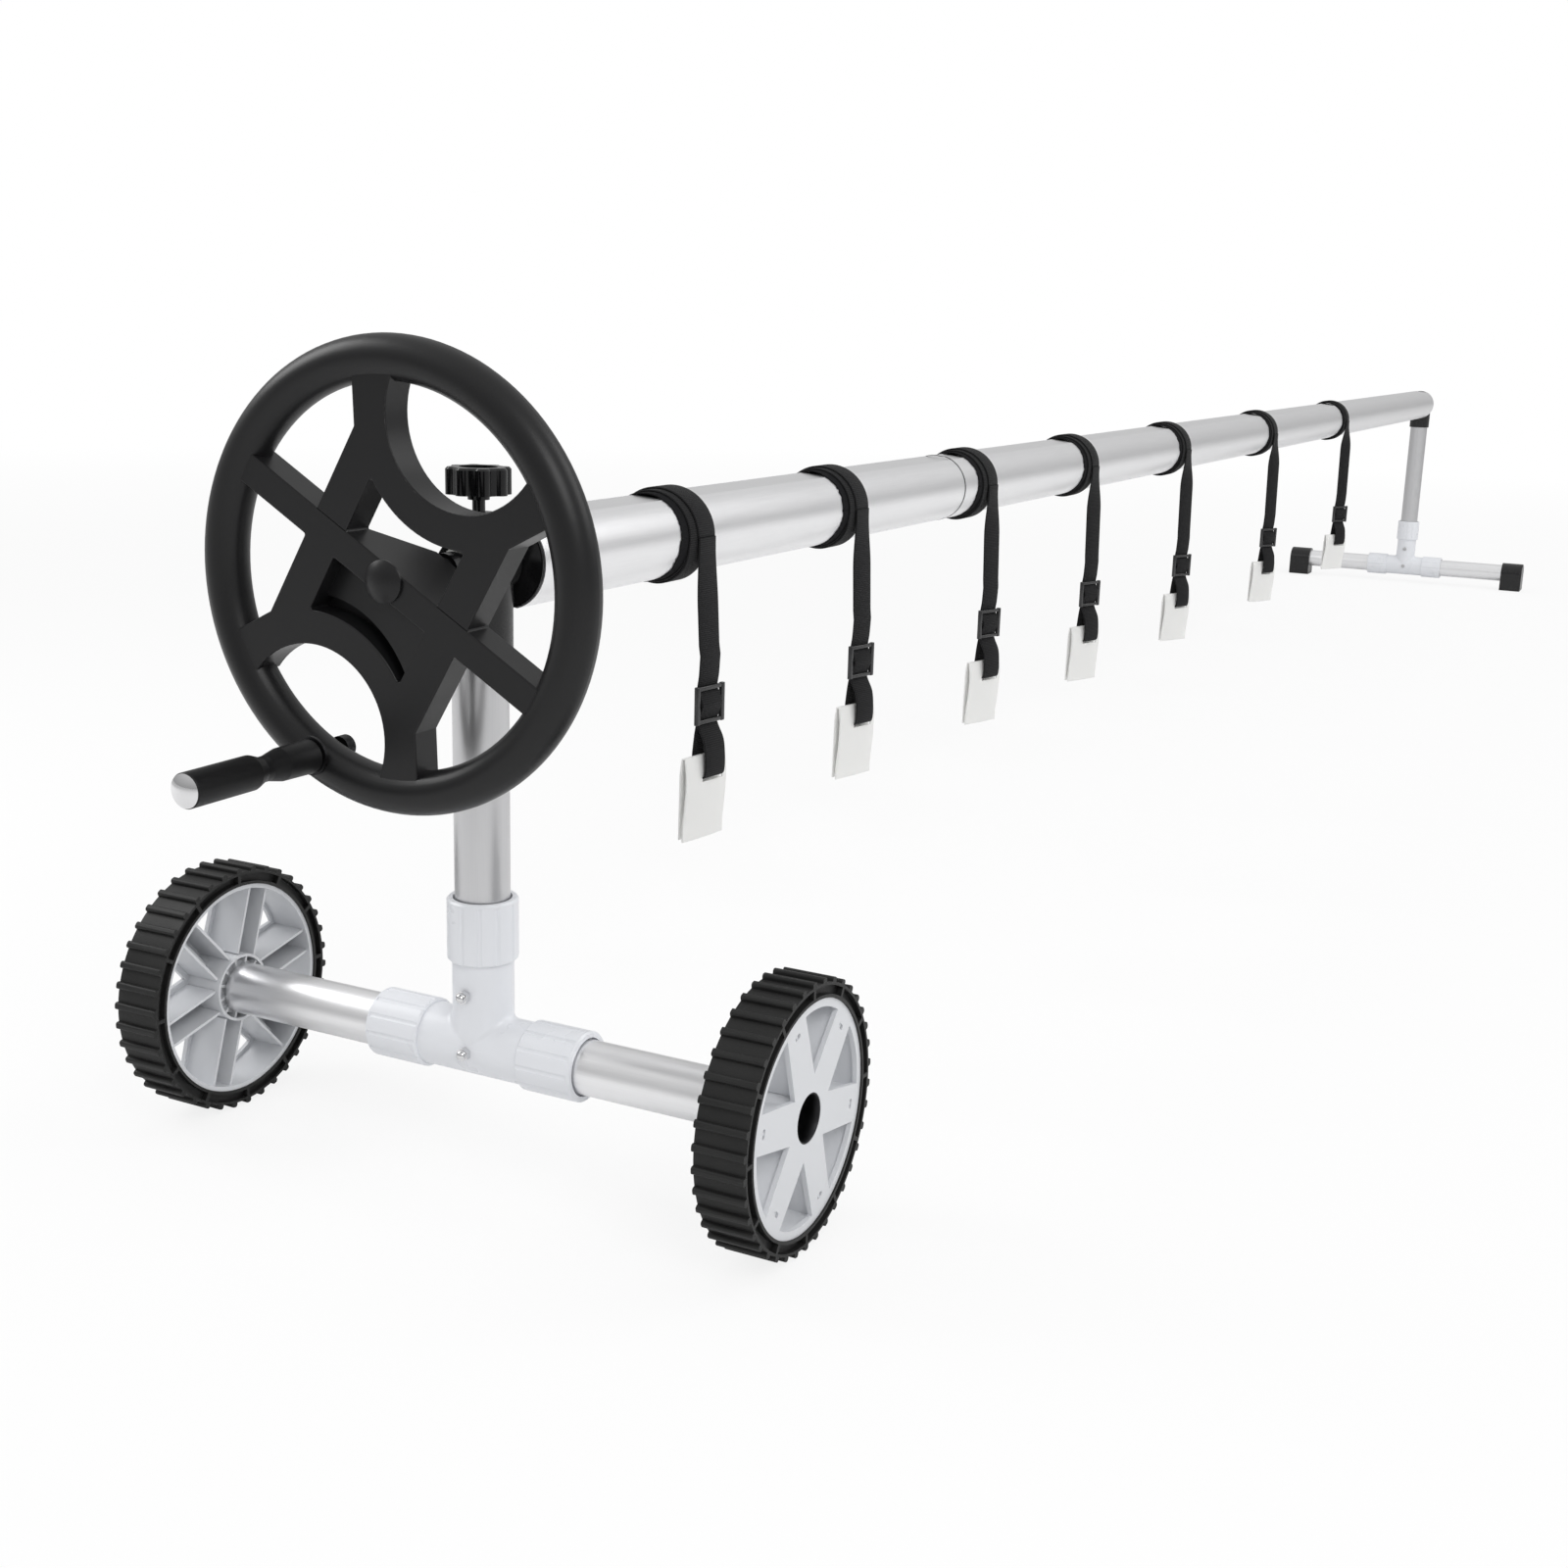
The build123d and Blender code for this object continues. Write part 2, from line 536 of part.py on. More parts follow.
def hollow_faces():
    """Parts of the spokes that are open from behind."""
    w = SPOKE_WALL
    bar = Rectangle(2 * (RIM_R - 1.6 * RIM_SECTION_R), 2 * (BAR_HALF - w)) - Circle(SLEEVE_R + w)
    band = Circle(BAND_R - w) - Circle(CUTOUT_R + w)
    bands = Circle(1) - Circle(1)
    for side in (1, -1):
        ring = Pos(0, side * ARC_OFFSET) * band
        reach = Pos(0, side * (BAR_HALF + w + 50)) * Rectangle(2 * (SPOKE_OUTER - w), 100)
        bands += ring & reach & Circle(RIM_R - 1.6 * RIM_SECTION_R)
    return bar, bands


def handwheel():
    """Moulded wheel: round rim, cross bar, four spokes, curved bands and a sleeve."""
    low = PLATE_FRONT - PLATE_DEPTH
    body = extrude(Pos(0, 0, low) * spoke_face(), PLATE_DEPTH)
    body = fillet(body.faces().sort_by(Axis.Z)[-1].edges(), EDGE_ROUND)
    for face in hollow_faces():
        body -= extrude(Pos(0, 0, low) * face, PLATE_DEPTH - PLATE_SKIN)
    body += lower_panel()
    web = Polygon((SPOKE_INNER, low + 1), (SLEEVE_R - 1, -SLEEVE_END + 4),
                  (-SLEEVE_R + 1, -SLEEVE_END + 4), (-SPOKE_INNER, low + 1), align=None)
    for side in (1, -1):
        place = Plane((0, side * (BAR_HALF - GUSSET_THICKNESS / 2), 0), x_dir=(1, 0, 0), z_dir=(0, -1, 0))
        body += extrude(place * web, GUSSET_THICKNESS / 2, both=True)
    body += disc(SLEEVE_R, -SLEEVE_END, PLATE_FRONT)
    body -= disc(SPIGOT_R + FIT_GAP, -SLEEVE_END - 1, PLATE_FRONT)
    groove_y = BAR_HALF
    for x in (-1, 1):
        middle = x * (SPOKE_INNER + SPOKE_OUTER) / 2
        place = Pos(middle, groove_y, PLATE_FRONT)
        body -= place * Box(SPOKE_OUTER - SPOKE_INNER + 1, SEAM_GROOVE, 2 * SEAM_GROOVE)
    body = hand_plane() * body
    for side in (1, -1):
        body += rim_half(side)
    return body


def rim_half(side):
    """Front (side 1) or back (side -1) half of the round rim, bored for the grip's spindle."""
    section = Circle(RIM_SECTION_R) & Pos(0, side * RIM_SECTION_R) * Rectangle(RIM_R, 2 * RIM_SECTION_R)
    half = hand_plane() * revolve(Plane.XZ * (Pos(RIM_R, 0) * section), Axis.Z, 360)
    for cutter in grip_seats():
        half -= cutter
    return half


def lower_panel():
    """Sloping panel that closes the lower window, with a deep slot along its band."""
    window = window_face(-1)
    arc = Pos(0, -ARC_OFFSET) * Circle(BAND_R + SLOT_WIDTH)
    reach = SPOKE_INNER + 1
    high, low = PLATE_FRONT, PLATE_FRONT - PANEL_DROP
    slope = Polygon((-reach, low - PANEL_SKIN), (reach, high - PANEL_SKIN), (reach, high), (-reach, low),
                    align=None)
    place = Plane((0, -BAR_HALF + 1, 0), x_dir=(1, 0, 0), z_dir=(0, -1, 0))
    sheet = extrude(place * slope, 62)
    back = Pos(0, 0, PLATE_FRONT - PLATE_DEPTH + 2)
    prism = extrude(back * (offset(window, 1) - arc), PLATE_DEPTH)
    floor = extrude(back * offset(window, 0.5), PANEL_SKIN)
    rim = Pos(0, -ARC_OFFSET) * (Circle(BAND_R + SLOT_WIDTH + 2) - Circle(BAND_R + SLOT_WIDTH))
    lip = extrude(back * (offset(window, 0.5) & rim), PLATE_DEPTH)
    under = Plane((0, -BAR_HALF + 1, 0), x_dir=(1, 0, 0), z_dir=(0, -1, 0)) * Polygon(
        (-reach, -2 * PLATE_DEPTH), (reach, -2 * PLATE_DEPTH), (reach, high), (-reach, low), align=None)
    return (sheet & prism) + floor + (lip & extrude(under, 62))


def hub_cap():
    """Domed cap over the handwheel's hub."""
    cap = disc(HUB_CAP_R, PLATE_FRONT + FIT_GAP, PLATE_FRONT + HUB_CAP_HEIGHT + 2)
    sphere_r = (HUB_CAP_R ** 2 + HUB_CAP_HEIGHT ** 2) / (2 * HUB_CAP_HEIGHT)
    dome = Pos(0, 0, PLATE_FRONT + 2 + HUB_CAP_HEIGHT - sphere_r) * Sphere(sphere_r)
    stem = disc(SPIGOT_R - FIT_GAP, PLATE_FRONT - 6, PLATE_FRONT + 1)
    return hand_plane() * ((cap & dome) + stem)


def grip_centre():
    """Y and Z of the crank grip's axis."""
    turn = math.radians(GRIP_TURN)
    return (-GRIP_OFFSET * math.cos(turn), REEL_AXIS_Z + GRIP_OFFSET * math.sin(turn))


def grip_seats():
    """Cutters for the spindle's hole through the rim and its two flat seats."""
    centre = grip_centre()
    middle = NEAR_X - WHEEL_PLANE
    face, back = middle - RIM_SECTION_R, middle + RIM_SECTION_R
    yield rod("x", SPINDLE_R + FIT_GAP, face - 1, back + 1, centre)
    yield rod("x", GRIP_WASHER_R + FIT_GAP, face - 5, face + SEAT_DEPTH, centre)
    yield rod("x", REAR_NUT_R + FIT_GAP, back - 2 * SEAT_DEPTH, back + 5, centre)


def crank_pieces():
    """Spindle through the rim, waisted grip, end cap and fasteners."""
    centre = grip_centre()
    rim_face = NEAR_X - WHEEL_PLANE - RIM_SECTION_R
    rim_back = NEAR_X - WHEEL_PLANE + RIM_SECTION_R
    end = NEAR_X - GRIP_REACH + GRIP_CAP_HEIGHT
    washer_x = rim_face - GRIP_WASHER_THICKNESS
    grip_x = washer_x - 0.4
    length = grip_x - end
    profile = [(0, 0), (0, GRIP_R - 1.2), (1.2, GRIP_R), (length * 0.50, GRIP_R),
               (length * 0.58, GRIP_WAIST_R), (length * 0.63, GRIP_WAIST_R),
               (length * 0.74, GRIP_R - 0.6), (length - 1.2, GRIP_R), (length, GRIP_R - 1.2), (length, 0)]
    blank = revolve(Plane.XY * Polygon(*profile, align=None), Axis.X)
    waist = blank.edges().filter_by(GeomType.CIRCLE)
    waist = [e for e in waist if length * 0.45 < e.center().X < length * 0.7]
    blank = fillet(waist, 5)
    grip = Pos(end, centre[0], centre[1]) * blank
    spindle_end = end + 12
    grip -= rod("x", SPINDLE_R + RUN_GAP, spindle_end - 10.5, grip_x + 1, centre)
    grip -= rod("x", SPINDLE_R + 3.5, spindle_end - 10.5, spindle_end - 1, centre)
    spindle = rod("x", SPINDLE_R, spindle_end, rim_back + REAR_NUT_HEIGHT, centre)
    spindle += rod("x", SPINDLE_R + 3, spindle_end - 5, spindle_end - 1.5, centre)
    spindle += rod("x", SPINDLE_R, spindle_end - 5, spindle_end, centre)
    washer = pipe("x", GRIP_WASHER_R, SPINDLE_R + FIT_GAP, washer_x, rim_face + SEAT_DEPTH, centre)
    nut = pipe("x", REAR_NUT_R, SPINDLE_R + FIT_GAP, rim_back - 2 * SEAT_DEPTH, rim_back + REAR_NUT_HEIGHT, centre)
    nut = chamfer(nut.edges().filter_by(GeomType.CIRCLE).group_by(Axis.X)[-1], 0.8)
    sphere_r = (GRIP_CAP_R ** 2 + GRIP_CAP_HEIGHT ** 2) / (2 * GRIP_CAP_HEIGHT)
    cap = rod("x", GRIP_CAP_R, end - GRIP_CAP_HEIGHT, end - FIT_GAP, centre)
    cap &= Pos(end - GRIP_CAP_HEIGHT + sphere_r, centre[0], centre[1]) * Sphere(sphere_r)
    return grip, cap, spindle, washer, nut


# ---------------------------------------------------------------- straps

def wrap(at):
    """Webbing wound twice round the roll, the outer turn shifted along it."""
    x = NEAR_X + at - WEBBING_WIDTH / 2
    inner = ROLL_R + FIT_GAP
    first = pipe("x", inner + WEBBING, inner, x - WRAP_SHIFT / 2, x + WEBBING_WIDTH - WRAP_SHIFT / 2, AXIS)
    second = pipe("x", inner + WRAP_LAYERS * WEBBING, inner + WEBBING,
                  x + WRAP_SHIFT / 2, x + WEBBING_WIDTH + WRAP_SHIFT / 2, AXIS)
    return first + second


def tail_line_y():
    """Y of a hanging tail's middle, in front of the wrap."""
    return -(ROLL_R + FIT_GAP + WRAP_LAYERS * WEBBING + TAIL_GAP + WEBBING / 2)


def tail_frame(index):
    """Plane at a tail's buckle: X across the webbing, Y away from the roll, Z up."""
    x = NEAR_X + STRAP_AT[index] + WRAP_SHIFT / 2 + TAIL_LEAN
    z = REEL_AXIS_Z - FIRST_DROP - DROP_STEP * index
    turn = math.radians(FIRST_TWIST + TWIST_STEP * index)
    return Plane((x, tail_line_y(), z), x_dir=(math.cos(turn), -math.sin(turn), 0), z_dir=(0, 0, 1))


def ribbon(points):
    """Webbing that follows points of (depth, height), centred on local X = 0."""
    place = Plane((-WEBBING_WIDTH / 2, 0, 0), x_dir=(0, 1, 0), z_dir=(1, 0, 0))
    face = trace(Polyline(*points), WEBBING)
    return extrude(place * face, WEBBING_WIDTH)


def strap(index):
    """Tail, buckle and clip of one strap, as three solids."""
    frame = tail_frame(index)
    top_x = NEAR_X + STRAP_AT[index] + WRAP_SHIFT / 2
    above = REEL_AXIS_Z - frame.origin.Z
    half = BUCKLE_HEIGHT / 2
    over = BUCKLE_THICKNESS / 2 + WEBBING / 2 + 0.15
    slot_z = -CLIP_DROP - CLIP_SLOT
    rear = CLIP_LAYER + CLIP_JAW / 2 + WEBBING
    path = [(0, above - TWIST_END), (0, half + 8), (over, half), (over, half - BUCKLE_BAR - 1),
            (-over, 4), (-over, -4), (over, -half + BUCKLE_BAR + 1), (over, -half - 2),
            (rear, -CLIP_DROP - 4), (rear, slot_z), (-rear, slot_z), (-rear, -CLIP_DROP - 4),
            (-over, -half - 4), (-over, -half + 1), (-over - WEBBING - 0.1, -half + BUCKLE_BAR + 3),
            (-over - WEBBING - 0.1, half - BUCKLE_BAR - 6)]
    loop = frame * ribbon(path)
    slab = Pos(top_x, tail_line_y(), REEL_AXIS_Z - TWIST_TOP) * Box(
        WEBBING_WIDTH, WEBBING, TWIST_TOP, align=(Align.CENTER, Align.CENTER, Align.MIN))
    upper = Plane((top_x, tail_line_y(), REEL_AXIS_Z - TWIST_TOP)) * Rectangle(WEBBING_WIDTH, WEBBING)
    lower = Plane(frame.location.position + Vector(0, 0, above - TWIST_END), x_dir=frame.x_dir,
                  z_dir=(0, 0, 1)) * Rectangle(WEBBING_WIDTH, WEBBING)
    turn = loft([upper.face(), lower.face()], ruled=True)
    tail = slab + turn + loop
    outer = RectangleRounded(BUCKLE_WIDTH, BUCKLE_HEIGHT, 4)
    opening = Rectangle(WEBBING_WIDTH + 2, BUCKLE_HEIGHT - 2 * BUCKLE_BAR)
    bar = Rectangle(WEBBING_WIDTH + 4, BUCKLE_BAR)
    upright = Plane((0, BUCKLE_THICKNESS / 2, 0), x_dir=(1, 0, 0), z_dir=(0, -1, 0))
    buckle = frame * extrude(upright * ((outer - opening) + bar), BUCKLE_THICKNESS)
    return tail, buckle, frame * clip()


def clip():
    """Folded plastic clip: two layers joined at the top and parted at the bottom."""
    top, bottom = -CLIP_DROP, -CLIP_DROP - CLIP_HEIGHT
    inner, outer = CLIP_JAW / 2, CLIP_JAW / 2 + CLIP_LAYER
    profile = Polygon((-outer, bottom), (-inner, bottom), (-inner + 2, top - CLIP_SLOT - 6), (-0.6, top - CLIP_LAYER),
                      (0.6, top - CLIP_LAYER), (inner - 2, top - CLIP_SLOT - 6), (inner, bottom), (outer, bottom),
                      (outer - 2, top - CLIP_SLOT - 6), (CLIP_LAYER, top), (-CLIP_LAYER, top),
                      (-outer + 2, top - CLIP_SLOT - 6), align=None)
    place = Plane((CLIP_SHIFT - CLIP_WIDTH / 2, 0, 0), x_dir=(0, 1, 0), z_dir=(1, 0, 0))
    body = extrude(place * profile, CLIP_WIDTH)
    slot = Box(WEBBING_WIDTH + 2, 4 * outer, WEBBING + 1.2)
    return body - Pos(0, 0, top - CLIP_SLOT) * slot


# ---------------------------------------------------------------- assembly

half_bar = WHEEL_INNER - FREE_GAP
stand("near", NEAR_X, TYRE_R, half_bar, REEL_AXIS_Z - HEAD_DROP)
stand("far", FAR_X, FOOT_AXIS_Z, FOOT_SPAN / 2 - FOOT_CAP_END - FIT_GAP, REEL_AXIS_Z - HEAD_DROP)
add("near_tee_bolts", *[acorn_bolt(NEAR_X, TYRE_R + rise) for rise in (0, BOLT_RISE)])
add("far_tee_screws", *[pan_screw(FAR_X, FOOT_AXIS_Z + rise) for rise in (0, BOLT_RISE)])
add("near_head", head(NEAR_X, HEAD_TOP, True))
add("far_head", head(FAR_X, HEAD_TOP, False))
add("near_bush", bush(NEAR_X, True))
add("far_bush", bush(FAR_X, False))
clamp_pieces()

for side, name in ((-1, "right"), (1, "left")):
    add("wheel_hub_" + name, wheel_plane(side) * hub())
    add("tyre_" + name, wheel_plane(side) * tyre())
    add("axle_stub_" + name, axle(side))
    add("foot_cap_" + name, foot_cap(side))
add("axle_fasteners", axle_fastener(-1), axle_fastener(1))

near_end, far_end = NEAR_X + ROLL_END, FAR_X - ROLL_END
seam = NEAR_X + SEAM_AT
screws = [(near_end + 30, 0), (seam - 45, 180), (seam + 45, 180), (far_end - 30, 0)]
screws = [(x, turn + CHANNEL_TURN) for x, turn in screws]
bores = [screw_bore(x, turn) for x, turn in screws]
spigot_tip = NEAR_X - WHEEL_PLANE - PLATE_FRONT + 7
shoulder = NEAR_X - WHEEL_PLANE + SLEEVE_END + FIT_GAP
near_plug = end_plug(NEAR_X, 1, shoulder) + rod("x", SPIGOT_R, shoulder, spigot_tip, AXIS)
stub_start = FAR_X + BUSH_LENGTH / 2 + 2 * FREE_GAP
stub = rod("x", DRIVE_STUB_R, stub_start, FAR_X + STUB_REACH, AXIS)
stub = fillet(stub.edges().group_by(Axis.X)[-1], DRIVE_STUB_ROUND)
far_plug = end_plug(FAR_X, -1, stub_start) + stub
add("roll_tube_near", roll_tube(near_end, seam - SEAM_GAP / 2) - bores[0] - bores[1])
add("roll_tube_far", roll_tube(seam + SEAM_GAP / 2, far_end) - bores[2] - bores[3])
joiner = filler(seam - JOINER_LENGTH / 2, JOINER_LENGTH)
joiner -= rod("x", ROLL_R - ROLL_WALL - CHANNEL_DEPTH - JOINER_WALL, seam - JOINER_LENGTH, seam + JOINER_LENGTH, AXIS)
add("tube_joiner", joiner - bores[1] - bores[2])
add("near_plug", near_plug - bores[0])
add("far_plug", far_plug - bores[3])
add("tube_screws", *[screw_down(x, turn) for x, turn in screws])

add("handwheel", handwheel())
add("hub_cap", hub_cap())
grip, grip_cap, spindle, washer, rear_nut = crank_pieces()
add("crank_grip", grip)
add("grip_end_cap", grip_cap)
add("crank_spindle", spindle)
add("crank_fasteners", washer, rear_nut)

add("strap_wraps", *[wrap(at) for at in STRAP_AT])
for index in range(len(STRAP_AT)):
    tail, buckle, grip_clip = strap(index)
    add(f"strap_tail_{index + 1}", tail)
    add(f"strap_buckle_{index + 1}", buckle)
    add(f"cover_clip_{index + 1}", grip_clip)

os.makedirs("parts", exist_ok=True)
for name, shapes in nodes.items():
    solids = [solid for shape in shapes for solid in shape.solids()]
    piece = solids[0] if len(solids) == 1 else Compound(children=solids)
    export_step(piece, f"parts/{name}.step")
print(len(nodes), "nodes")
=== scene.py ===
# %% [markdown]
# # A reel for a pool cover
# The reel is a long silver roll carried by two stands. The near stand runs on two wheels and
# has a big black handwheel with a crank grip. Seven black straps hang from the roll, and each
# ends in a pale plastic clip that takes the edge of the cover.
#
# The construction arrives ready made: every hard piece is already at its real size and place.
# This lesson gives those pieces their finishes, and remakes the soft and sheet pieces that
# plain solids can't show: the webbing, its buckles and the folded clips.

# %% Load the construction
import bpy
import bmesh
import math
import random
from mathutils import Matrix, Vector


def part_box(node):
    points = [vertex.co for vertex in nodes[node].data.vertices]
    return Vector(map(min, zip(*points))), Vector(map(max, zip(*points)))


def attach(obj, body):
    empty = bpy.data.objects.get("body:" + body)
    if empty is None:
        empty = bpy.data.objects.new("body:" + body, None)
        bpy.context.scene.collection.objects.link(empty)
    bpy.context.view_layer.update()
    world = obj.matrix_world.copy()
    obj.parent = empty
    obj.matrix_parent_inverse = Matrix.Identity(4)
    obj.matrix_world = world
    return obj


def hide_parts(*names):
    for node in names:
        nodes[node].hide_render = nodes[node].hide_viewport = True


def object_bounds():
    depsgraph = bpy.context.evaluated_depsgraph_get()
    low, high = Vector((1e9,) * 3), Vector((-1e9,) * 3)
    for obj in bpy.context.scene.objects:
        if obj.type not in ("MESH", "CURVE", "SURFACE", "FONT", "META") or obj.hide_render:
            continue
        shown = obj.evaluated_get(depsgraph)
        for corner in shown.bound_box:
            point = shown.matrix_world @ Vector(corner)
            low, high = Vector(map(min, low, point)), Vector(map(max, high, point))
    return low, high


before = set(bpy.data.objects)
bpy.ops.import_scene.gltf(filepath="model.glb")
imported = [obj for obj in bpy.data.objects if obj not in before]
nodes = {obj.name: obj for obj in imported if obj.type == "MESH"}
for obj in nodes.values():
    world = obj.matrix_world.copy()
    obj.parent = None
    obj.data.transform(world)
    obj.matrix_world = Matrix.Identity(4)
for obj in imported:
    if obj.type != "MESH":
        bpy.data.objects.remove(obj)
construction_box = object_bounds()
print(len(nodes), "pieces of construction, from", construction_box[0], "to", construction_box[1])

# %% [markdown]
# ## A way to make finishes
# Every finish here starts from the same shader, so one helper makes it with a colour, a
# roughness and a metal share. A second helper adds grain: a noise that tips the surface a
# little, which is what stops moulded plastic or drawn metal from looking like clean glass.
# The noise reads the object's own coordinates, so it stays on the piece when the piece moves.

# %% Helpers for finishes


def finish(name, colour, roughness, metal=0.0):
    """A new material with one main shader; returns the material and that shader."""
    made = bpy.data.materials.new(name)
    made.use_nodes = True
    shader = made.node_tree.nodes["Principled BSDF"]
    shader.inputs["Base Color"].default_value = (*colour, 1.0)
    shader.inputs["Roughness"].default_value = roughness
    shader.inputs["Metallic"].default_value = metal
    return made, shader


def stretched_noise(made, scale, stretch=(1, 1, 1), detail=4.0):
    """Noise in the object's coordinates, drawn out along one axis by a small stretch value."""
    tree = made.node_tree
    place = tree.nodes.new("ShaderNodeTexCoord")
    mapping = tree.nodes.new("ShaderNodeMapping")
    mapping.inputs["Scale"].default_value = stretch
    noise = tree.nodes.new("ShaderNodeTexNoise")
    noise.inputs["Scale"].default_value = scale
    noise.inputs["Detail"].default_value = detail
    tree.links.new(place.outputs["Object"], mapping.inputs["Vector"])
    tree.links.new(mapping.outputs["Vector"], noise.inputs["Vector"])
    return noise.outputs["Fac"]


def add_bump(made, shader, height, strength, depth):
    """Tips the surface by a height that another node gives; depth is in metres."""
    tree = made.node_tree
    bump = tree.nodes.new("ShaderNodeBump")
    bump.inputs["Strength"].default_value = strength
    bump.inputs["Distance"].default_value = depth
    tree.links.new(height, bump.inputs["Height"])
    tree.links.new(bump.outputs["Normal"], shader.inputs["Normal"])


def vary(made, shader, socket, driver, low, high):
    """Makes a shader's value follow a 0 to 1 pattern, between two limits."""
    tree = made.node_tree
    spread = tree.nodes.new("ShaderNodeMapRange")
    spread.inputs["To Min"].default_value = low
    spread.inputs["To Max"].default_value = high
    tree.links.new(driver, spread.inputs["Value"])
    tree.links.new(spread.outputs["Result"], shader.inputs[socket])


def tint(made, shader, driver, dark, pale):
    """Mixes two near colours by a pattern, for the slight unevenness of a real surface; on the webbing it
    paints shade into the weave's hollows.
    """
    tree = made.node_tree
    mix = tree.nodes.new("ShaderNodeMix")
    mix.data_type = "RGBA"
    mix.inputs["A"].default_value = (*dark, 1.0)
    mix.inputs["B"].default_value = (*pale, 1.0)
    tree.links.new(driver, mix.inputs["Factor"])
    tree.links.new(mix.outputs["Result"], shader.inputs["Base Color"])


def give(made, *names):
    """Puts a finish on pieces of the construction."""
    for name in names:
        piece = nodes[name]
        piece.data.materials.clear()
        piece.data.materials.append(made)
    print(made.name, "on", len(names), "pieces")


# %% [markdown]
# ## Drawn aluminium
# The roll, the poles and the bars are extruded tube with a satin silver skin. An extrusion
# carries very fine lines along its length, where the die dragged on the metal. Lines like that
# are a noise squashed thin across the tube and drawn out along it. They belong in roughness
# more than in height, because they are far too fine to see as steps.

# %% Drawn aluminium for tubes that run along X, Y and Z
SILVER = (0.88, 0.88, 0.89)
LINE_SCALE = 40.0
LINE_DEPTH = 0.0002
ALONG = {"x": (0.4, 60, 60), "y": (60, 0.4, 60), "z": (60, 60, 0.4)}


def drawn_aluminium(axis, low, high):
    """Satin silver with die lines along one axis, between two tones of grey."""
    made, shader = finish("drawn_aluminium_" + axis, SILVER, 0.34, 0.92)
    lines = stretched_noise(made, LINE_SCALE, ALONG[axis])
    vary(made, shader, "Roughness", lines, 0.27, 0.42)
    tint(made, shader, lines, low, high)
    add_bump(made, shader, lines, 0.12, LINE_DEPTH)
    return made


BRIGHT_TONES = ((0.83, 0.83, 0.845), (0.92, 0.92, 0.925))
# The poles are the same metal as the roll and bars; their darker tones are painted shade.
POLE_SHADED_TONES = ((0.56, 0.56, 0.572), (0.66, 0.66, 0.668))
give(drawn_aluminium("x", *BRIGHT_TONES), "roll_tube_near", "roll_tube_far", "tube_joiner")
give(drawn_aluminium("y", *BRIGHT_TONES), "near_base_bar", "far_base_bar")
give(drawn_aluminium("z", *POLE_SHADED_TONES), "near_pole", "far_pole")

# %% [markdown]
# ## Black moulded plastic
# The handwheel, knob, heads and foot caps come out of moulds with a faintly textured skin. It
# is nearly black, but its edges still catch light, so the colour stays dark and the roughness
# does the work. Heads and foot caps are glossier than the wheel. The knob and the roll's end
# plugs come from polished moulds and shine most.

# %% Black plastics
GLOSS_PATCHES = 22.0
GRAIN_STRENGTH = 0.35


def moulded(name, colour, roughness, grain_scale, grain_depth, shine=0.5):
    """Moulded plastic: one colour, slight unevenness of gloss and a fine grain."""
    made, shader = finish(name, colour, roughness)
    shader.inputs["Specular IOR Level"].default_value = shine
    vary(made, shader, "Roughness", stretched_noise(made, GLOSS_PATCHES), roughness - 0.05, roughness + 0.06)
    add_bump(made, shader, stretched_noise(made, grain_scale, detail=2.0), GRAIN_STRENGTH, grain_depth)
    return made


BLACK = (0.0088, 0.0088, 0.0094)
give(moulded("handwheel_plastic", BLACK, 0.36, 900.0, 0.00008, 0.30), "handwheel", "hub_cap")
give(moulded("grip_plastic", (0.0075, 0.0075, 0.008), 0.46, 1400.0, 0.00010, 0.26), "crank_grip")
give(moulded("head_plastic", (0.0085, 0.0085, 0.009), 0.26, 900.0, 0.00005, 0.45), "near_head",
     "far_head", "foot_cap_left", "foot_cap_right")
give(moulded("polished_plastic", (0.005, 0.005, 0.0055), 0.16, 500.0, 0.00003, 0.4), "lock_knob",
     "near_plug", "far_plug")

# %% [markdown]
# ## Pale plastics
# The tees and their collars are pale cool grey and have a soft gloss. The wheel hubs are a
# little darker. The shaft bushes are plain nylon, which hardly shows once it is in place.

# %% Pale plastics
give(moulded("tee_plastic", (0.80, 0.815, 0.85), 0.28, 300.0, 0.00006), "near_tee", "far_tee",
     "near_tee_collars", "far_tee_collars")
give(moulded("hub_plastic", (0.66, 0.672, 0.695), 0.34, 300.0, 0.00008), "wheel_hub_left", "wheel_hub_right")
give(moulded("nylon", (0.78, 0.78, 0.75), 0.45, 500.0, 0.00005), "near_bush", "far_bush")

# %% [markdown]
# ## Tyres
# A tyre like this is blow moulded in hard black plastic: duller than the handwheel, with dust
# in its grain. A larger, soft noise dulls it in patches, as handling does.

# %% Tyre plastic
tread, tread_shader = finish("tyre_plastic", (0.012, 0.012, 0.012), 0.52)
tread_shader.inputs["Specular IOR Level"].default_value = 0.3
patches = stretched_noise(tread, 30.0)
tint(tread, tread_shader, patches, (0.0085, 0.0085, 0.0085), (0.021, 0.021, 0.0205))
vary(tread, tread_shader, "Roughness", patches, 0.44, 0.62)
add_bump(tread, tread_shader, stretched_noise(tread, 700.0), 0.5, 0.0002)
give(tread, "tyre_left", "tyre_right")
give(moulded("pad_rubber", (0.02, 0.02, 0.02), 0.75, 500.0, 0.0002), "brake_pad")

# %% [markdown]
# ## Bright metal
# The tee bolts have domed chrome nuts and the grip ends in a pressed chrome cap. The screws,
# washers and axles are zinc plated or turned steel, which is greyer and rougher.

# %% Chrome and steel


def metal(name, colour, roughness, depth):
    """Bare or plated metal with a fine grain."""
    made, shader = finish(name, colour, roughness, 1.0)
    smears = stretched_noise(made, 160.0)
    vary(made, shader, "Roughness", smears, roughness * 0.7, roughness * 1.4)
    add_bump(made, shader, smears, 0.2, depth)
    return made


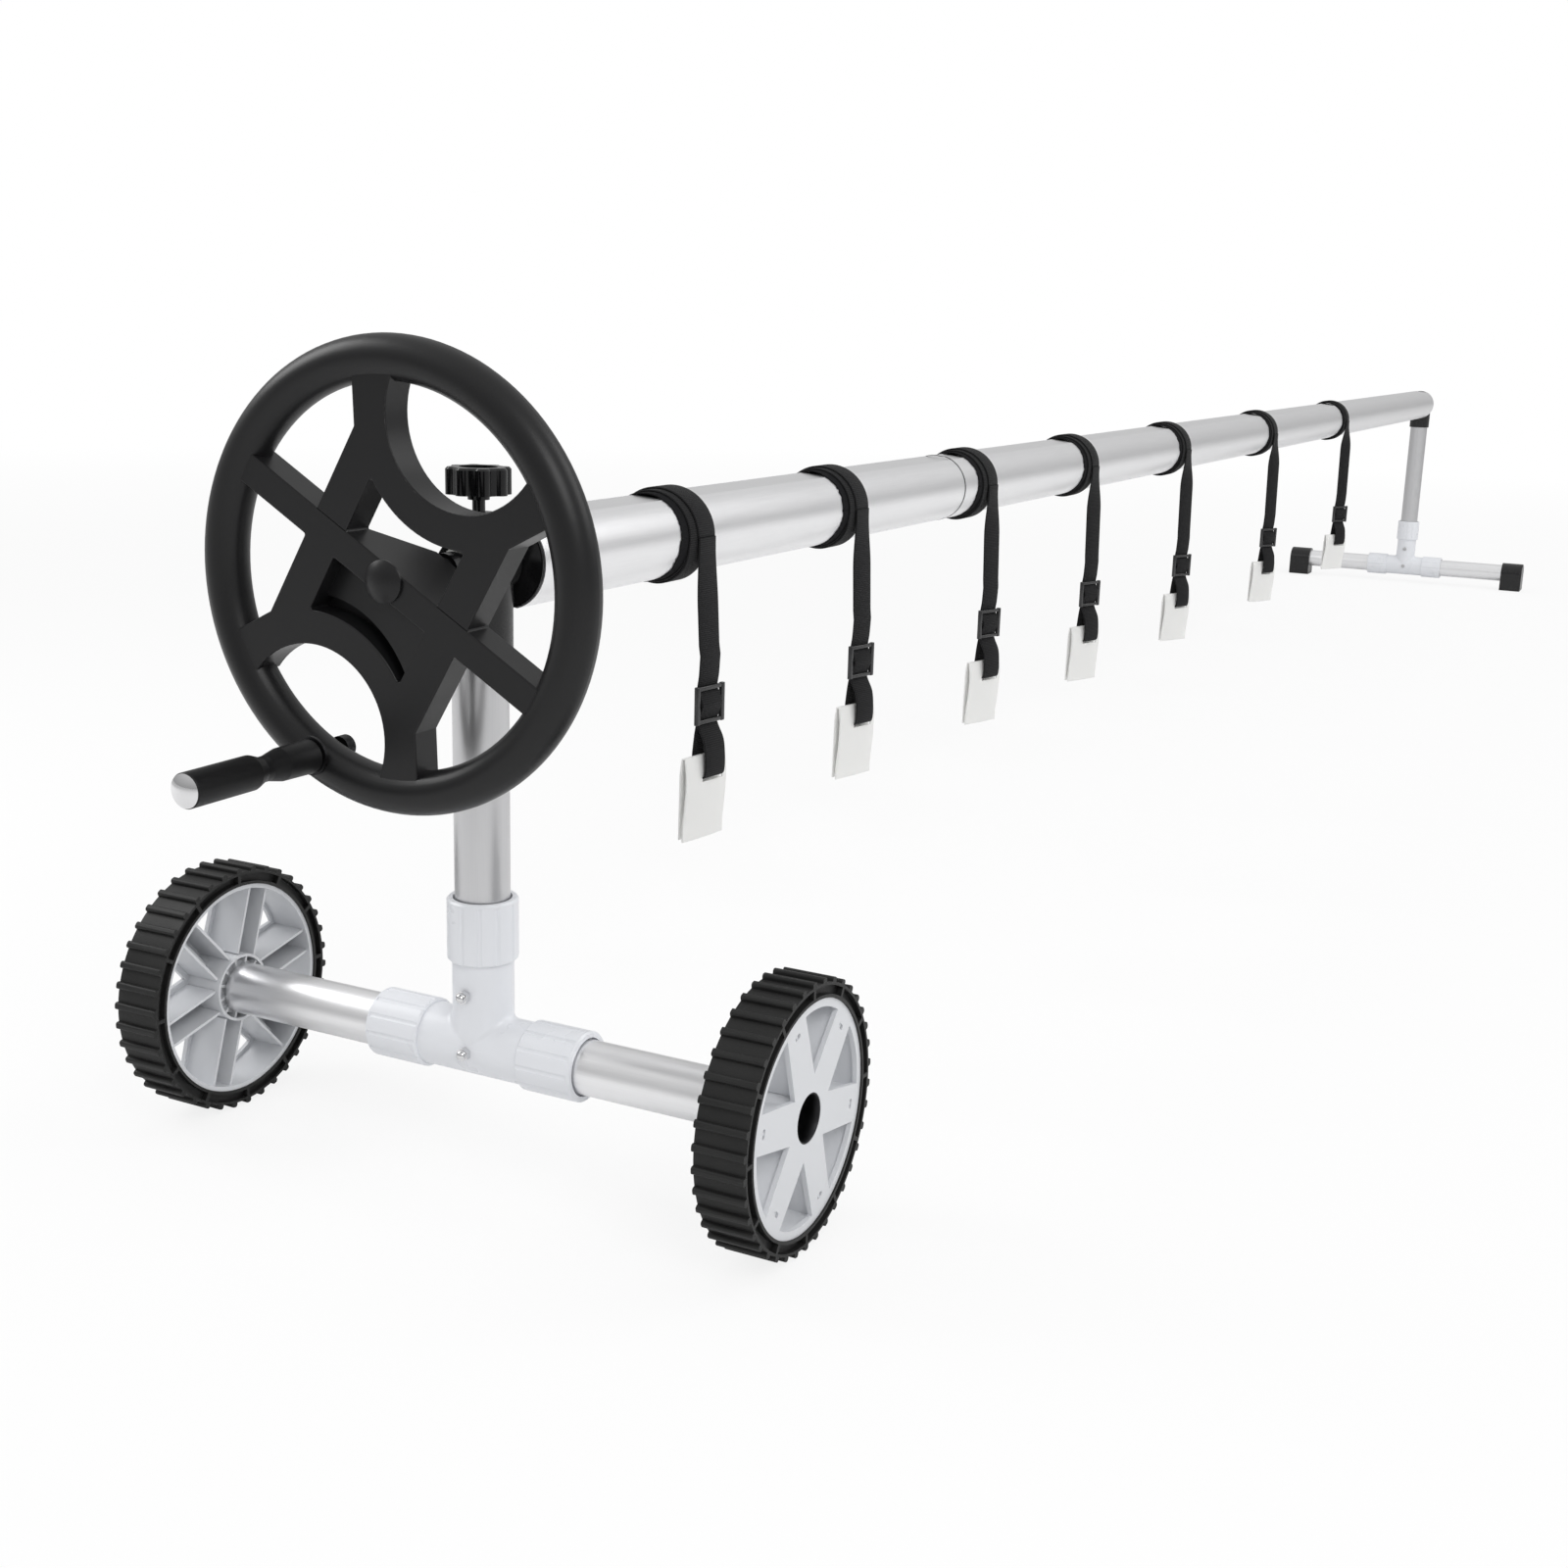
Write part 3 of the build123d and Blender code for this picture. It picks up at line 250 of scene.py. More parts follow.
give(metal("chrome", (0.74, 0.74, 0.75), 0.09, 0.00002), "near_tee_bolts", "grip_end_cap")
# This blackened steel is also painted shade: the joint's dark strip and the lining of the wheel eyes.
blackened_and_shade = metal("blackened_steel_and_painted_shade", (0.035, 0.035, 0.037), 0.42, 0.00005)
give(metal("zinc", (0.56, 0.56, 0.57), 0.28, 0.00005), "far_tee_screws", "tube_screws")
give(blackened_and_shade, "axle_fasteners", "crank_fasteners")
give(metal("turned_steel", (0.52, 0.52, 0.53), 0.22, 0.00005), "crank_spindle", "axle_stub_left",
     "axle_stub_right")

# %% [markdown]
# ## Webbing
# The straps are woven polypropylene webbing, about 30 mm wide, with ribs across it. Cloth
# simulation would erase a strap this thin, so it is modelled directly: one thin rounded section
# is carried along a line of stations. Each station says where the middle is, which way the
# width runs and which way the face looks. Twisting a strap is then only a matter of turning
# the width from one station to the next.

# %% From a built mesh to a piece


def make_piece(name, mesh, made):
    """Closes a mesh being built and puts it in the scene with its finish."""
    bmesh.ops.recalc_face_normals(mesh, faces=mesh.faces)
    data = bpy.data.meshes.new(name)
    mesh.to_mesh(data)
    mesh.free()
    data.materials.append(made)
    piece = bpy.data.objects.new(name, data)
    bpy.context.scene.collection.objects.link(piece)
    return piece


# %% A section carried along stations
WEBBING_WIDTH = 0.030
WEBBING_THICKNESS = 0.0018
EDGE_STEPS = 4


def webbing_section(width, thickness):
    """Points of a flat section with rounded edges, as (across, out) pairs."""
    radius = thickness / 2
    reach = width / 2 - radius
    ring = []
    for side in (1, -1):
        for step in range(EDGE_STEPS + 1):
            turn = math.pi * (step / EDGE_STEPS - 0.5)
            ring.append((side * (reach + radius * math.cos(turn)), side * radius * math.sin(turn)))
    return ring


def carry(name, stations, width, thickness, made):
    """A solid strap: the section at each (middle, across, out) station, closed at both ends."""
    ring = webbing_section(width, thickness)
    mesh = bmesh.new()
    layer = mesh.loops.layers.uv.new("weave")
    rows, travelled, last = [], 0.0, None
    for middle, across, out in stations:
        travelled += (middle - last).length if last else 0.0
        last = middle
        points = [mesh.verts.new(middle + across * a + out * o) for a, o in ring]
        rows.append((points, travelled))
    for (low, low_at), (high, high_at) in zip(rows, rows[1:]):
        for k in range(len(ring)):
            after = (k + 1) % len(ring)
            face = mesh.faces.new((low[k], low[after], high[after], high[k]))
            face.smooth = True
            for loop, at, index in zip(face.loops, (low_at, low_at, high_at, high_at), (k, after, after, k)):
                loop[layer].uv = (ring[index][0], at)
    mesh.faces.new(list(reversed(rows[0][0])))
    mesh.faces.new(rows[-1][0])
    return make_piece(name, mesh, made)


# %% [markdown]
# The weave itself is a pattern on the strap's own map, which counts metres across and along.
# A band wave along the length makes the ribs, and a finer one across them breaks each rib into
# yarns. Together they are a height; the hollows are also painted darker, as shade, and duller.

# %% Woven black finish
RIBS_PER_METRE = 520.0
YARNS_PER_METRE = 900.0
BANDS_PER_SCALE = 3.2


def wave(made, direction, per_metre):
    """Bands along one direction of the weave map."""
    tree = made.node_tree
    place = tree.nodes.new("ShaderNodeUVMap")
    place.uv_map = "weave"
    bands = tree.nodes.new("ShaderNodeTexWave")
    bands.bands_direction = direction
    bands.inputs["Scale"].default_value = per_metre / BANDS_PER_SCALE
    bands.inputs["Distortion"].default_value = 0.6
    bands.inputs["Detail"].default_value = 1.0
    tree.links.new(place.outputs["UV"], bands.inputs["Vector"])
    return bands.outputs["Fac"]


def multiply(made, first, second):
    """Product of two patterns."""
    both = made.node_tree.nodes.new("ShaderNodeMath")
    both.operation = "MULTIPLY"
    made.node_tree.links.new(first, both.inputs[0])
    made.node_tree.links.new(second, both.inputs[1])
    return both.outputs["Value"]


woven, woven_shader = finish("woven_black", (0.010, 0.010, 0.011), 0.72)
ribs_and_hollow_shade = multiply(woven, wave(woven, "Y", RIBS_PER_METRE), wave(woven, "X", YARNS_PER_METRE))
# The darker colour in the weave's hollows is painted shade.
tint(woven, woven_shader, ribs_and_hollow_shade, (0.0045, 0.0045, 0.005), (0.019, 0.019, 0.021))
add_bump(woven, woven_shader, ribs_and_hollow_shade, 0.8, 0.0006)
woven_shader.inputs["Specular IOR Level"].default_value = 0.2
woven_shader.inputs["Sheen Weight"].default_value = 0.04
woven_shader.inputs["Sheen Roughness"].default_value = 0.4

fuzzy, fuzzy_shader = finish("hook_and_loop", (0.008, 0.008, 0.009), 0.95)
fuzzy_shader.inputs["Specular IOR Level"].default_value = 0.1
pile = stretched_noise(fuzzy, 1500.0)
tint(fuzzy, fuzzy_shader, pile, (0.003, 0.003, 0.0035), (0.022, 0.022, 0.024))
add_bump(fuzzy, fuzzy_shader, pile, 1.0, 0.0010)

# %% [markdown]
# ## Turns round the roll
# Each strap goes round the roll twice. The outer turn starts where the tail leaves at the
# front, goes over the top and round the back, and slips sideways under itself on its last
# quarter, so that the two turns cross. Under them lies a patch of hook and loop tape, wider than
# the webbing, with a ragged edge. The line is a spiral, so the stations come from one
# angle. The roll's radius is read from the construction and is not typed again.

# %% The turns and the patch under them
STRAPS = 7
WRAP_SHIFT = 0.012
TAPE_THICKNESS = 0.0012
TAPE_WIDTH = 0.046
TAPE_SHIFT = 0.010
TAPE_WANDER = 0.0012
BUCKLE_LEAD = 0.016
TURN_GAP = 0.0001
TURN_SWAY = 0.003
TURN_STEPS = 96
roll_low, roll_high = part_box("roll_tube_far")
axis_z = (roll_low.z + roll_high.z) / 2
ROLL_RADIUS = (roll_high.y - roll_low.y) / 2
print("the roll is", round(2000 * ROLL_RADIUS, 1), "mm across, its axis at", round(axis_z, 4))


def smooth(share):
    """Eases a 0 to 1 share in and out."""
    share = min(1.0, max(0.0, share))
    return share * share * (3 - 2 * share)


def station_round(x, radius, angle):
    """Station on the roll: angle 0 is the front, and it grows over the top."""
    out = Vector((0, -math.cos(angle), math.sin(angle)))
    return Vector((x, 0, axis_z)) + out * radius, Vector((1, 0, 0)), out


def turns(name, x):
    """Two turns of webbing: an outer one at the right and an inner one at the left."""
    stations = []
    inner = ROLL_RADIUS + TAPE_THICKNESS + WEBBING_THICKNESS / 2
    for step in range(2 * TURN_STEPS):
        share = step / TURN_STEPS
        slip = smooth((share - 0.62) / 0.36)
        drift = -WRAP_SHIFT * slip - TURN_SWAY * math.sin(math.pi * min(1.0, share))
        radius = inner + (WEBBING_THICKNESS + TURN_GAP) * (1 - smooth((share - 0.9) / 0.08))
        stations.append(station_round(x + WRAP_SHIFT / 2 + drift, radius, 2 * math.pi * share))
    return carry(name, stations, WEBBING_WIDTH, WEBBING_THICKNESS, woven)


def patch(name, x, seed):
    """Hook and loop tape under the webbing: a ring whose edges wander."""
    dice = random.Random(seed)
    stations = []
    wander = 0.0
    for step in range(TURN_STEPS + 1):
        wander = 0.85 * wander + dice.uniform(-TAPE_WANDER, TAPE_WANDER)
        angle = 2 * math.pi * step / TURN_STEPS
        middle, across, out = station_round(x, ROLL_RADIUS + TAPE_THICKNESS / 2, angle)
        reach = 1.0 + dice.uniform(-0.03, 0.03)
        stations.append((middle + across * wander, across * reach, out))
    return carry(name, stations, TAPE_WIDTH, TAPE_THICKNESS, fuzzy)


wrap_x = []
for index in range(STRAPS):
    buckle_low, buckle_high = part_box(f"strap_buckle_{index + 1}")
    wrap_x.append((buckle_low.x + buckle_high.x) / 2 - BUCKLE_LEAD)
    wound = turns(f"strap_turns_{index + 1}", wrap_x[-1])
    tape = patch(f"strap_tape_{index + 1}", wrap_x[-1] - TAPE_SHIFT, index)
    for piece in (wound, tape):
        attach(piece, "reel")
        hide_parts("strap_wraps")
print("turns round the roll at", [round(x, 3) for x in wrap_x])

# %% [markdown]
# ## The roll's joint
# The roll comes in two lengths that push together over a joiner. The joint shows as a dark
# line round the roll that steps sideways in two places. The construction's tube ends are
# straight and leave a gap too narrow to see from here, so a very thin dark strip of painted
# shade stands for the shadow in the line. Its steps are drawn, not built: no notch lies under them.

# %% The joint's line of painted shade
JOG = 0.007
STEP_HALF = math.radians(22)
STEP_EASE = math.radians(4)
STEP_ANGLES = (math.radians(96), math.radians(276))
LINE_WIDTH = 0.0026
LINE_THICKNESS = 0.0006


def joint_shade_strip():
    """Thin strip of painted shade over the gap between the roll's two lengths, stepped in two places."""
    gap = (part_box("roll_tube_near")[1].x + roll_low.x) / 2
    stations = []
    for step in range(2 * TURN_STEPS + 1):
        angle = math.pi * step / TURN_STEPS
        nearest = min(abs(angle - place) for place in STEP_ANGLES)
        jump = smooth((STEP_HALF - nearest) / STEP_EASE)
        stations.append(station_round(gap - JOG * jump, ROLL_RADIUS, angle))
    # The strip's dark finish is painted shade for the gap.
    return carry("joint_shade_strip", stations, LINE_WIDTH, LINE_THICKNESS, blackened_and_shade)


line = joint_shade_strip()
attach(line, "reel")
print("joint line round the roll")

# %% [markdown]
# ## Hanging tails
# A tail drops from the front of the roll, turns in its first few centimetres, passes the buckle,
# runs round the clip's slot and comes back up through the buckle. The same section as
# before is carried along it. The line is a list of a few given points in the strap's own
# plane, and a smooth curve through them gives the stations.

# %% A smooth line through a few points
STEPS_PER_SPAN = 8


def smooth_line(points):
    """Points on a curve that passes through every given point."""
    line = []
    padded = [2 * points[0] - points[1]] + points + [2 * points[-1] - points[-2]]
    for before, start, end, after in zip(padded, padded[1:], padded[2:], padded[3:]):
        for step in range(STEPS_PER_SPAN):
            t = step / STEPS_PER_SPAN
            line.append(0.5 * ((2 * start) + (end - before) * t
                               + (2 * before - 5 * start + 4 * end - after) * t ** 2
                               + (3 * start - before - 3 * end + after) * t ** 3))
    return line + [points[-1]]


# %% The tails
FIRST_TWIST = 8.0
TWIST_STEP = 4.3
TWIST_TOP = 0.006
TWIST_END = 0.062
CLIP_DROP = 0.047
CLIP_SLOT = 0.020
BUCKLE_HALF = 0.018
THREAD = 0.0029
LOOP_REAR = 0.0078
LOOP_FRONT = 0.0072
LOOP_START = 0.034
HANG_STEPS = 26


def strap_axes(index):
    """Middle of a strap's buckle, the direction across it and the one towards the roll."""
    low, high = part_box(f"strap_buckle_{index + 1}")
    turn = math.radians(FIRST_TWIST + TWIST_STEP * index)
    across = Vector((math.cos(turn), -math.sin(turn), 0))
    return (low + high) / 2, across, Vector((math.sin(turn), math.cos(turn), 0))


def loop_points():
    """Route below the twist, as (towards the roll, up) from the buckle's middle."""
    slot = -CLIP_DROP - CLIP_SLOT
    yield from ((0.0, BUCKLE_HALF + 0.030), (0.0012, BUCKLE_HALF + 0.010))
    yield from ((THREAD, BUCKLE_HALF - 0.003), (0.0, 0.0085), (-THREAD, 0.0), (0.0, -0.0085))
    yield from ((THREAD, -BUCKLE_HALF + 0.002), (0.0052, -0.026), (LOOP_REAR, -CLIP_DROP - 0.002))
    yield from ((LOOP_REAR, slot + 0.005), (0.0045, slot), (-0.0045, slot), (-LOOP_FRONT, slot + 0.005))
    yield from ((-0.0074, -CLIP_DROP - 0.002), (-0.0054, -0.034), (THREAD - 0.002, -BUCKLE_HALF - 0.004))
    yield from ((THREAD + 0.0020, -BUCKLE_HALF + 0.006), (THREAD + 0.0024, -0.003), (THREAD + 0.0026, 0.008))


def tail(index):
    """One hanging strap, from the roll's front to its free end in front of the buckle."""
    middle, across, rearward = strap_axes(index)
    top_x = wrap_x[index] + WRAP_SHIFT / 2
    straight = Vector((1, 0, 0))
    stations = []
    drop = axis_z - middle.z
    hang = drop - BUCKLE_HALF - LOOP_START
    for step in range(HANG_STEPS):
        down = hang * step / HANG_STEPS
        turn = smooth((down - TWIST_TOP) / (TWIST_END - TWIST_TOP))
        wide = (straight * (1 - turn) + across * turn).normalized()
        point = Vector((top_x + (middle.x - top_x) * smooth(down / drop), middle.y, axis_z - down))
        stations.append((point, wide, wide.cross(Vector((0, 0, 1)))))
    line = smooth_line([middle + rearward * back + Vector((0, 0, up)) for back, up in loop_points()])
    for before, point, after in zip(line, line[1:], line[2:]):
        heading = (after - before).normalized()
        stations.append((point, across, across.cross(heading) * -1))
    return carry(f"strap_webbing_{index + 1}", stations, WEBBING_WIDTH, WEBBING_THICKNESS, woven)


for index in range(STRAPS):
    hanging = tail(index)
    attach(hanging, f"strap_{index + 1}")
    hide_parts(f"strap_tail_{index + 1}")
print(STRAPS, "tails hung")

# %% [markdown]
# ## Buckles
# The buckle is a slider: a rounded frame with a bar across its middle. It is moulded, so every
# edge is soft. The quickest way to soft edges is a plain outline with holes, given
# thickness, then a bevel on all its edges.

# %% The buckles
BUCKLE_WIDTH = 0.042
BUCKLE_THICKNESS = 0.0042
BAR_HEIGHT = 0.005
BAR_INSET = 0.004
BAR_SLIM = 0.8
MIDDLE_BAR = 0.55
BUCKLE_ROUNDING = 0.0009
buckle_plastic = moulded("buckle_plastic", (0.020, 0.020, 0.021), 0.20, 900.0, 0.00004)


def block(mesh, size, middle):
    """Adds a box to a mesh being built."""
    corners = bmesh.ops.create_cube(mesh, size=1.0)["verts"]
    bmesh.ops.scale(mesh, vec=size, verts=corners)
    bmesh.ops.translate(mesh, vec=middle, verts=corners)


def placed(name, mesh, made, middle, across, rearward):
    """Turns a mesh built about the origin into a piece that stands in a strap's own axes."""
    for vert in mesh.verts:
        local = vert.co.copy()
        vert.co = middle + across * local.x + rearward * local.y + Vector((0, 0, local.z))
    return make_piece(name, mesh, made)


def soften(piece, width, segments=3):
    """Rounds a piece's sharp edges and shades it smoothly."""
    bevel = piece.modifiers.new("soft_edges", "BEVEL")
    bevel.width = width
    bevel.segments = segments
    bevel.limit_method = "ANGLE"
    for face in piece.data.polygons:
        face.use_smooth = True


def buckle(index):
    """Slider with two side rails and three bars."""
    mesh = bmesh.new()
    side = BUCKLE_WIDTH / 2 - BAR_HEIGHT / 2
    for x in (-side, side):
        block(mesh, (BAR_HEIGHT, BUCKLE_THICKNESS, 2 * BUCKLE_HALF), (x, 0, 0))
    end_z = BUCKLE_HALF - BAR_HEIGHT / 2
    for z, deep in ((end_z, 1.0), (0, MIDDLE_BAR), (-end_z, 1.0)):
        size = (BUCKLE_WIDTH - BAR_INSET, BUCKLE_THICKNESS * deep * BAR_SLIM, BAR_HEIGHT * BAR_SLIM)
        block(mesh, size, (0, 0, z))
    piece = placed(f"slider_{index + 1}", mesh, buckle_plastic, *strap_axes(index))
    soften(piece, BUCKLE_ROUNDING)
    return piece


for index in range(STRAPS):
    slider = buckle(index)
    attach(slider, f"strap_{index + 1}")
    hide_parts(f"strap_buckle_{index + 1}")
print(STRAPS, "buckles")

# %% [markdown]
# ## Clips
# A clip is one strip of milky plastic sheet, folded at the top over the strap. Its two layers
# part towards the bottom, where the cover's edge goes in. The sheet passes some light, so the
# webbing inside it shows as a shadow. The layers are swept from one profile, with a slot for the
# strap in each of them, and bend a little, each in its own way.

# %% Milky sheet
milky, milky_shader = finish("milky_sheet", (0.94, 0.94, 0.925), 0.34)
milky_shader.inputs["Transmission Weight"].default_value = 0.22
milky_shader.inputs["IOR"].default_value = 1.45
cloud = stretched_noise(milky, 60.0)
vary(milky, milky_shader, "Roughness", cloud, 0.28, 0.42)
add_bump(milky, milky_shader, cloud, 0.3, 0.0006)

# %% The clips
CLIP_WIDTH = 0.060
CLIP_HEIGHT = 0.076
CLIP_SHIFT = -0.008
CLIP_LAYER = 0.0016
JAW = 0.0070
JAW_TAPER = 0.25
FOLD_START = 0.8
FOLD_SPAN = 0.2
FOLD_PINCH = 0.55
LAYER_BOW = 0.0012
LAYER_SLIDE = 0.0060
SLIDE_SPREAD = 0.0015
FLAT_TOP = 0.02
SLOT_HALF = 0.0024
CLIP_ROUNDING = 0.0003
FIRST_SEED = 40
CLIP_ROWS = 16
CLIP_COLUMNS = 10


def clip(index):
    """Folded sheet: rear layer up, over the fold and down the front layer."""
    mesh = bmesh.new()
    skew = random.Random(FIRST_SEED + index).uniform(-SLIDE_SPREAD, SLIDE_SPREAD)
    profile = []
    for row in range(CLIP_ROWS + 1):
        share = row / CLIP_ROWS
        pinch = 1 - smooth((share - FOLD_START) / FOLD_SPAN) * FOLD_PINCH
        profile.append((JAW / 2 * (1 - JAW_TAPER * share) * pinch, -CLIP_DROP - CLIP_HEIGHT * (1 - share)))
    outline = profile + [(-back, up) for back, up in reversed(profile)]
    grid = []
    for number, (back, up) in enumerate(outline):
        front = number > CLIP_ROWS
        line = []
        for column in range(CLIP_COLUMNS + 1):
            x = CLIP_SHIFT + CLIP_WIDTH * (column / CLIP_COLUMNS - 0.5)
            low_share = smooth((-CLIP_DROP - FLAT_TOP - up) / (CLIP_HEIGHT - FLAT_TOP))
            bow = LAYER_BOW * math.sin(math.pi * column / CLIP_COLUMNS) * low_share
            slide = (LAYER_SLIDE + skew) * low_share if front else 0.0
            line.append(mesh.verts.new((x - slide, back + (-bow if front else bow), up)))
        grid.append(line)
    slot_up = -CLIP_DROP - CLIP_SLOT
    slot_rows = {row for row, (back, up) in enumerate(outline) if abs(up - slot_up) < SLOT_HALF}
    for row, (low, high) in enumerate(zip(grid, grid[1:])):
        for column in range(CLIP_COLUMNS):
            middle_x = CLIP_SHIFT + CLIP_WIDTH * ((column + 0.5) / CLIP_COLUMNS - 0.5)
            if row in slot_rows and abs(middle_x) < WEBBING_WIDTH / 2:
                continue
            mesh.faces.new((low[column], low[column + 1], high[column + 1], high[column]))
    piece = placed(f"folded_clip_{index + 1}", mesh, milky, *strap_axes(index))
    sheet = piece.modifiers.new("sheet", "SOLIDIFY")
    sheet.thickness = CLIP_LAYER
    sheet.offset = 1.0
    soften(piece, CLIP_ROUNDING, 2)
    return piece


for index in range(STRAPS):
    folded = clip(index)
    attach(folded, f"strap_{index + 1}")
    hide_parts(f"cover_clip_{index + 1}")
print(STRAPS, "clips")

# %% [markdown]
# ## Dark eyes of the road wheels
# The axle sits deep in a round eye in the middle of each hub. A short steel sleeve lines the
# eye, and its near-black colour is painted shade for the deep eye. It is a plain turned ring with
# rounded lips, so a profile spun about the axle makes it. Its place comes from the hub's own box.

# %% Eye sleeves
EYE_RADIUS = 0.0199
EYE_WALL = 0.0013
EYE_DEPTH = 0.0192
SPIN_STEPS = 64


def painted_shade_sleeve(side):
    """Ring that lines one hub's eye, with its mouth at the hub's outer face."""
    low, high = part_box("wheel_hub_" + side)
    outward = 1 if side == "left" else -1
    face = high.y if outward > 0 else low.y
    centre = (low + high) / 2
    lip = EYE_WALL / 2
    profile = [(EYE_RADIUS, -EYE_DEPTH), (EYE_RADIUS, -lip), (EYE_RADIUS - lip, 0.0),
               (EYE_RADIUS - EYE_WALL, -lip), (EYE_RADIUS - EYE_WALL, -EYE_DEPTH)]
    mesh = bmesh.new()
    rings = []
    for step in range(SPIN_STEPS):
        turn = 2 * math.pi * step / SPIN_STEPS
        rings.append([mesh.verts.new((centre.x + radius * math.cos(turn), face + outward * depth,
                                      centre.z + radius * math.sin(turn))) for radius, depth in profile])
    for here, there in zip(rings, rings[1:] + rings[:1]):
        for k in range(len(profile)):
            after = (k + 1) % len(profile)
            mesh.faces.new((here[k], here[after], there[after], there[k])).smooth = True
    # The ring's near-black finish is painted shade for the deep eye.
    piece = make_piece("painted_shade_sleeve_" + side, mesh, blackened_and_shade)
    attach(piece, "wheel_" + side)
    return piece


shade_sleeves = [painted_shade_sleeve(side) for side in ("left", "right")]
print(len(shade_sleeves), "eye sleeves, each", round(2000 * EYE_RADIUS, 1), "mm across")

# %% [markdown]
# ## Floor, light and camera
# The reel stands on a plain pale floor that runs off into a white surround. The floor shows
# partly its own white and partly the light that reaches it, so the shadow stays but is soft.
# The surround is a little dimmer near the horizon than overhead for everything but the
# camera, which gives round metal the light top and darker flank that make it look round.

# %% Floor
FLOOR_REACH = 60.0
FLOOR_DROP = 0.0005
FADE_FROM, FADE_TO = 1.0, 7.0
NEAR_SHARE = 0.80
floor_mesh = bmesh.new()
bmesh.ops.create_grid(floor_mesh, x_segments=1, y_segments=1, size=FLOOR_REACH)
floor_data = bpy.data.meshes.new("floor")
floor_mesh.to_mesh(floor_data)
floor_mesh.free()
floor = bpy.data.objects.new("floor", floor_data)
floor.location.z = construction_box[0].z - FLOOR_DROP
bpy.context.scene.collection.objects.link(floor)

floor_paint, floor_shader = finish("floor_paint", (0.86, 0.86, 0.86), 0.9)
floor_shader.inputs["Specular IOR Level"].default_value = 0.0
floor_tree = floor_paint.node_tree
glow = floor_tree.nodes.new("ShaderNodeEmission")
floor_ray = floor_tree.nodes.new("ShaderNodeLightPath")
camera_share = floor_tree.nodes.new("ShaderNodeMath")
camera_share.operation = "MULTIPLY"
away = floor_tree.nodes.new("ShaderNodeVectorMath")
away.operation = "LENGTH"
where = floor_tree.nodes.new("ShaderNodeTexCoord")
fade = floor_tree.nodes.new("ShaderNodeMapRange")
fade.inputs["From Min"].default_value = FADE_FROM
fade.inputs["From Max"].default_value = FADE_TO
fade.inputs["To Min"].default_value = NEAR_SHARE
fade.inputs["To Max"].default_value = 1.0
floor_tree.links.new(where.outputs["Object"], away.inputs[0])
floor_tree.links.new(away.outputs["Value"], fade.inputs["Value"])
floor_tree.links.new(fade.outputs["Result"], camera_share.inputs[1])
blend = floor_tree.nodes.new("ShaderNodeMixShader")
floor_tree.links.new(floor_ray.outputs["Is Camera Ray"], camera_share.inputs[0])
floor_tree.links.new(camera_share.outputs["Value"], blend.inputs["Fac"])
floor_tree.links.new(floor_shader.outputs["BSDF"], blend.inputs[1])
floor_tree.links.new(glow.outputs["Emission"], blend.inputs[2])
floor_tree.links.new(blend.outputs["Shader"], floor_tree.nodes["Material Output"].inputs["Surface"])
floor_data.materials.append(floor_paint)

# %% Surround
HORIZON_TONE = 0.32
ZENITH_TONE = 0.80
world = bpy.data.worlds.new("surround")
bpy.context.scene.world = world
world.use_nodes = True
world_tree = world.node_tree
background = world_tree.nodes["Background"]
background.inputs["Strength"].default_value = 1.0
direction = world_tree.nodes.new("ShaderNodeTexCoord")
split = world_tree.nodes.new("ShaderNodeSeparateXYZ")
height = world_tree.nodes.new("ShaderNodeMapRange")
height.inputs["From Min"].default_value = -0.1
height.inputs["From Max"].default_value = 0.9
height.inputs["To Min"].default_value = HORIZON_TONE
height.inputs["To Max"].default_value = ZENITH_TONE
world_ray = world_tree.nodes.new("ShaderNodeLightPath")
sky_mix = world_tree.nodes.new("ShaderNodeMix")
sky_mix.data_type = "RGBA"
sky_mix.inputs["B"].default_value = (1, 1, 1, 1)
world_tree.links.new(direction.outputs["Generated"], split.inputs["Vector"])
world_tree.links.new(split.outputs["Z"], height.inputs["Value"])
